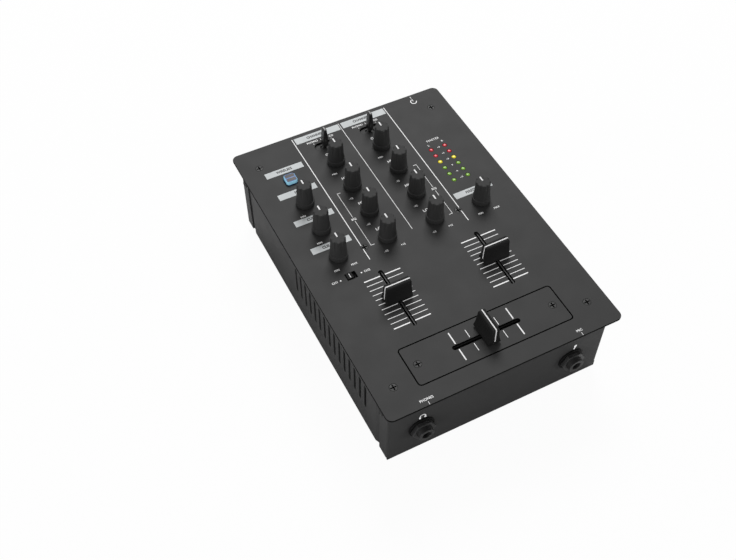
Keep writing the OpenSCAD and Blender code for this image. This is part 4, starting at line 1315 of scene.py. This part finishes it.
def label_words():
    """The dark words on the bars."""
    return [printed_text(words, x, (bar[2] + bar[3]) / 2, 2.15, width=0.9, weight=2.6)
            for bar, x, words in LABELS]


def knob_scale(x, y, low_word, high_word):
    """The two end marks under a knob, at its lower left and lower right."""
    return [printed_text(low_word, x - 6.4, y - 10.7, 1.5),
            printed_text(high_word, x + 6.4, y - 10.7, 1.5)]


def channel_marks(x):
    """The eleven strokes on each side of a channel fader's slot."""
    marks = []
    last = 10
    for k in range(last + 1):
        half = 0.4 if k in (0, last) else 0.22
        y = 58.55 + 4.17 * k
        marks.append(printed_bar(x - 13.6, x - 1.8, y - half, y + half))
        marks.append(printed_bar(x + 1.8, x + 13.2, y - half, y + half))
    return marks


def crossfader_marks():
    """The strokes on both sides of the crossfader's slot."""
    marks = []
    for x in (63.7, 106.3):
        marks.append(printed_bar(x - 0.4, x + 0.4, 17.8, 26.7))
        marks.append(printed_bar(x - 0.4, x + 0.4, 31.2, 40.4))
    for x in (74.35, 85.0, 95.65):
        marks.append(printed_bar(x - 0.22, x + 0.22, 20.4, 26.4))
        marks.append(printed_bar(x - 0.22, x + 0.22, 31.5, 37.7))
    return marks


def separators():
    """The long lines between the channels, broken round the middle screws."""
    lines = []
    for x in (46.9, 123.3):
        lines.append(printed_bar(x - 0.28, x + 0.28, 116.0, 125.7))
        lines.append(printed_bar(x - 0.28, x + 0.28, 129.0, 242.8))
    lines.append(printed_bar(84.81, 85.19, 126.7, 242.8))
    return lines


def tone_bracket(x, side):
    """The bracket beside the three tone knobs of a channel, its ends turned to them."""
    lines = [printed_bar(x - 0.15, x + 0.15, 126.3, 150.6),
             printed_bar(x - 0.15, x + 0.15, 154.4, 179.1)]
    left, right = sorted((x, x + side * 2.5))
    lines += [printed_bar(left, right, y - 0.17, y + 0.17) for y in (126.5, 178.9)]
    lines.append(printed_text("EQ", x, 152.5, 1.8, width=1.1))
    return lines


def source_names(x):
    """The names and ticks behind a source lever's hole."""
    return [printed_text("PHONO", x - 6.9, 233.8, 1.7),
            printed_text("LINE", x + 1.9, 233.8, 1.7),
            printed_text("CD", x + 8.2, 233.8, 1.7),
            printed_bar(x - 7.0, x - 6.6, 231.0, 231.8),
            printed_bar(x + 7.0, x + 7.4, 231.0, 231.8)]


def level_scale():
    """The heading, letters and numbers of the level lamps."""
    words = [printed_text("MASTER", 139.8, 195.8, 1.9, width=1.05, weight=0.3),
             printed_text("L", 134.0, 191.7, 1.7), printed_text("R", 145.3, 191.7, 1.7)]
    for k, number in enumerate(("+9", "+6", "+3", "0", "-6", "-12")):
        words.append(printed_text(number, 139.8, 186.9 - 6.67 * k, 1.3, width=1.05))
    return words


def power_symbol(x, y):
    """A ring with a gap and a stroke in it, and a tick to the edge."""
    return [printed_arc(x, y, 2.2, 0.65, 115, 425),
            printed_bar(x - 0.25, x + 0.25, y + 0.4, y + 2.9),
            printed_bar(x - 0.2, x + 0.2, y + 3.7, y + 6.0)]


def cue_names():
    """The dots and names beside the cue switch."""
    return [printed_dot(21.5, 108.5, 0.55), printed_dot(36.8, 108.5, 0.55),
            printed_text("CH1", 17.4, 108.5, 1.7, width=0.95),
            printed_text("CH2", 41.0, 108.5, 1.7, width=0.95)]


def edge_names():
    """The socket names along the front edge."""
    return [printed_text("PHONES", 28.1, 4.5, 1.75), printed_bar(28.1, 28.4, 0.4, 2.8),
            printed_text("MIC", 138.7, 4.5, 1.75), printed_bar(138.8, 139.1, 0.4, 2.8)]


class MIXER_OT_plate_print(bpy.types.Operator):
    """Prints the bars, names, scales and symbols on the plate"""

    bl_idname = "mixer.plate_print"
    bl_label = "Plate printing"

    def execute(self, context):
        marks = separators() + tone_bracket(53.2, 1) + tone_bracket(116.6, -1)
        marks += level_scale() + power_symbol(147.0, 238.4) + cue_names() + edge_names()
        for x in KNOB_COLUMNS[1:3]:
            for y, name in zip(KNOB_ROWS, CHANNEL_NAMES):
                marks.append(printed_text(name, x - 4.1, y + 9.3, 2.3, align="LEFT"))
                marks += knob_scale(x, y, *GAIN_ENDS if name == "GAIN" else TONE_ENDS)
            marks += source_names(x)
        for x, rows in ((KNOB_COLUMNS[0], KNOB_ROWS[:3]), (KNOB_COLUMNS[3], KNOB_ROWS[:1])):
            for y in rows:
                marks += knob_scale(x, y, *GAIN_ENDS)
        for x in SLOT_COLUMNS:
            marks += channel_marks(x)
        white = painted(joined("plate_printing", marks), "ink")
        fitted(on_plate(white), "case", "phono_white")
        bars = painted(joined("label_bars", label_bars()), "label_ink")
        fitted(on_plate(bars), "case", "phono_white")
        words = painted(joined("label_words", label_words()), "word_ink")
        fitted(on_plate(words, sizes().print_thickness), "case", "dark_plastic")
        strokes = painted(joined("crossfader_printing", crossfader_marks()), "ink")
        fitted(on_plate(strokes), "case", "phono_white")
        return {"FINISHED"}


# ---- Front and rear printing ----

def phones_symbol():
    """A pair of headphones about the origin."""
    arch = printed_arc(0, 0.1, 1.95, 0.6, 0, 180)
    pads = [printed_bar(side * 1.9 - 0.6, side * 1.9 + 0.6, -2.2, 0.2, turn=-6 * side, corner=0.5)
            for side in (-1, 1)]
    return joined("phones_symbol", [arch] + pads)


def microphone_symbol():
    """A hand microphone about the origin, leaning to the right."""
    head = printed_bar(-1.05, 1.05, 0.1, 2.3, corner=0.85)
    grip = printed_bar(-0.6, 0.6, -2.3, 0.6, corner=0.35)
    return placed(joined("microphone_symbol", [head, grip]), turn=(0, 0, math.radians(-11)))


class MIXER_OT_front_print(bpy.types.Operator):
    """Prints the socket symbols on the front panel"""

    bl_idname = "mixer.front_print"
    bl_label = "Front printing"

    def execute(self, context):
        marks = [placed(phones_symbol(), (28.9 * MM, -26.9 * MM, 0)),
                 placed(microphone_symbol(), (143.25 * MM, -26.9 * MM, 0))]
        symbols = painted(joined("front_printing", marks), "ink")
        fitted(on_front(symbols), "case", "phono_white")
        return {"FINISHED"}


# Where each name stands from the middle of the panel
REAR_NAMES = ((62, "POWER"), (44, "DC IN"), (28, "BOOTH"), (12, "MASTER"), (-8, "LINE 2"),
              (-24, "PHONO 2"), (-48, "LINE 1"), (-64, "PHONO 1"))


class MIXER_OT_rear_print(bpy.types.Operator):
    """Prints plain names over the sockets on the rear panel"""

    bl_idname = "mixer.rear_print"
    bl_label = "Rear printing"

    def execute(self, context):
        width = (plate_high.x - plate_low.x) / MM
        marks = [printed_text(words, width / 2 - x, -10.0, 1.9, width=1.05)
                 for x, words in REAR_NAMES]
        for x in (-16, -56, 20):
            marks.append(printed_text("L", width / 2 - x, -32.0, 2.0))
            marks.append(printed_text("R", width / 2 - x, -46.0, 2.0))
        marks.append(printed_text("GND", width / 2 + 36, -14.0, 1.8))
        names = painted(joined("rear_printing", marks), "ink")
        fitted(on_rear(names), "case", "phono_white")
        return {"FINISHED"}


# ---- Stage ----

# The lamps as (name, place, the point it faces, width, height, power)
STUDIO_LAMPS = (
    ("key_lamp", (0.45, 0.95, 1.4), (0, 0, 0.05), 0.8, 0.8, 21),
    ("left_lamp", (-1.3, -0.6, 0.34), (-0.08, 0.0, 0.03), 0.9, 0.6, 6.4),
    ("front_lamp", (1.05, -1.0, 0.12), (0.0, -0.12, 0.03), 0.35, 0.2, 4),
)

# Light of the world on the object, and the light that its glossy faces reflect
WORLD_LEVEL = 0.3
WORLD_GLOSS = 0.45


def area_light(name, place, aim, width, height, power):
    """A rectangular lamp that faces a point."""
    clear_selection()
    direction = Vector(aim) - Vector(place)
    bpy.ops.object.light_add(type="AREA", location=place,
                             rotation=direction.to_track_quat("-Z", "Y").to_euler())
    lamp = bpy.context.object
    lamp.name = name
    lamp.data.shape = "RECTANGLE"
    lamp.data.size = width
    lamp.data.size_y = height
    lamp.data.energy = power


def plain_world(level, gloss):
    """An even grey light that looks white to the camera and differs in reflections."""
    world = bpy.data.worlds.new("studio_world")
    bpy.context.scene.world = world
    world.use_nodes = True
    nodes = world.node_tree.nodes
    white = (1, 1, 1, 1)
    path = nodes.new("ShaderNodeLightPath")
    shader = nodes["Background"]
    shader.inputs["Strength"].default_value = level
    shader.inputs["Color"].default_value = white
    for ray, strength in (("Is Glossy Ray", gloss), ("Is Camera Ray", 1.0)):
        seen = nodes.new("ShaderNodeBackground")
        seen.inputs["Color"].default_value = white
        seen.inputs["Strength"].default_value = strength
        mix = nodes.new("ShaderNodeMixShader")
        wired(world.node_tree, (path, ray, mix, "Fac"), (shader, 0, mix, 1),
              (seen, "Background", mix, 2))
        shader = mix
    wired(world.node_tree, (shader, "Shader", nodes["World Output"], "Surface"))


class MIXER_OT_stage(bpy.types.Operator):
    """Sets up the floor, the lamps, the world and the view settings"""

    bl_idname = "mixer.stage"
    bl_label = "Studio"

    def execute(self, context):
        clear_selection()
        bpy.ops.mesh.primitive_plane_add(size=8)
        floor = painted(context.object, "floor_finish")
        floor.name = "studio_floor"
        for lamp in STUDIO_LAMPS:
            area_light(*lamp)
        plain_world(WORLD_LEVEL, WORLD_GLOSS)
        context.scene.view_settings.view_transform = "Standard"
        return {"FINISHED"}


# ---- Panel and registration ----

OPERATORS = (
    MIXER_OT_camera,
    MIXER_OT_case,
    MIXER_OT_screws,
    MIXER_OT_feet,
    MIXER_OT_knobs,
    MIXER_OT_fader_caps,
    MIXER_OT_source_levers,
    MIXER_OT_cue_switch,
    MIXER_OT_link_button,
    MIXER_OT_level_lamps,
    MIXER_OT_front_sockets,
    MIXER_OT_rear_sockets,
    MIXER_OT_inside,
    MIXER_OT_plate_print,
    MIXER_OT_front_print,
    MIXER_OT_rear_print,
    MIXER_OT_stage,
)


class MIXER_PT_panel(bpy.types.Panel):
    """Lists the sizes, the colours and the steps of the model"""

    bl_idname = "MIXER_PT_panel"
    bl_label = "Mixer"
    bl_space_type = "VIEW_3D"
    bl_region_type = "UI"
    bl_category = "Mixer"

    def draw(self, context):
        for group in (context.scene.mixer_sizes, context.scene.mixer_colours):
            box = self.layout.box()
            for name in type(group).__annotations__:
                box.prop(group, name)
        for operator in OPERATORS:
            self.layout.operator(operator.bl_idname)


CLASSES = (MixerSizes, MixerColours) + OPERATORS + (MIXER_PT_panel,)


def register():
    """Adds the classes and the scene's properties to Blender."""
    for item in CLASSES:
        bpy.utils.register_class(item)
    bpy.types.Scene.mixer_sizes = PointerProperty(type=MixerSizes)
    bpy.types.Scene.mixer_colours = PointerProperty(type=MixerColours)


def unregister():
    """Takes them out again."""
    del bpy.types.Scene.mixer_colours
    del bpy.types.Scene.mixer_sizes
    for item in reversed(CLASSES):
        bpy.utils.unregister_class(item)


def main():
    """Makes every piece in turn."""
    register()
    for operator in OPERATORS:
        group, name = operator.bl_idname.split(".")
        getattr(getattr(bpy.ops, group), name)()


if __name__ == "__main__":
    main()
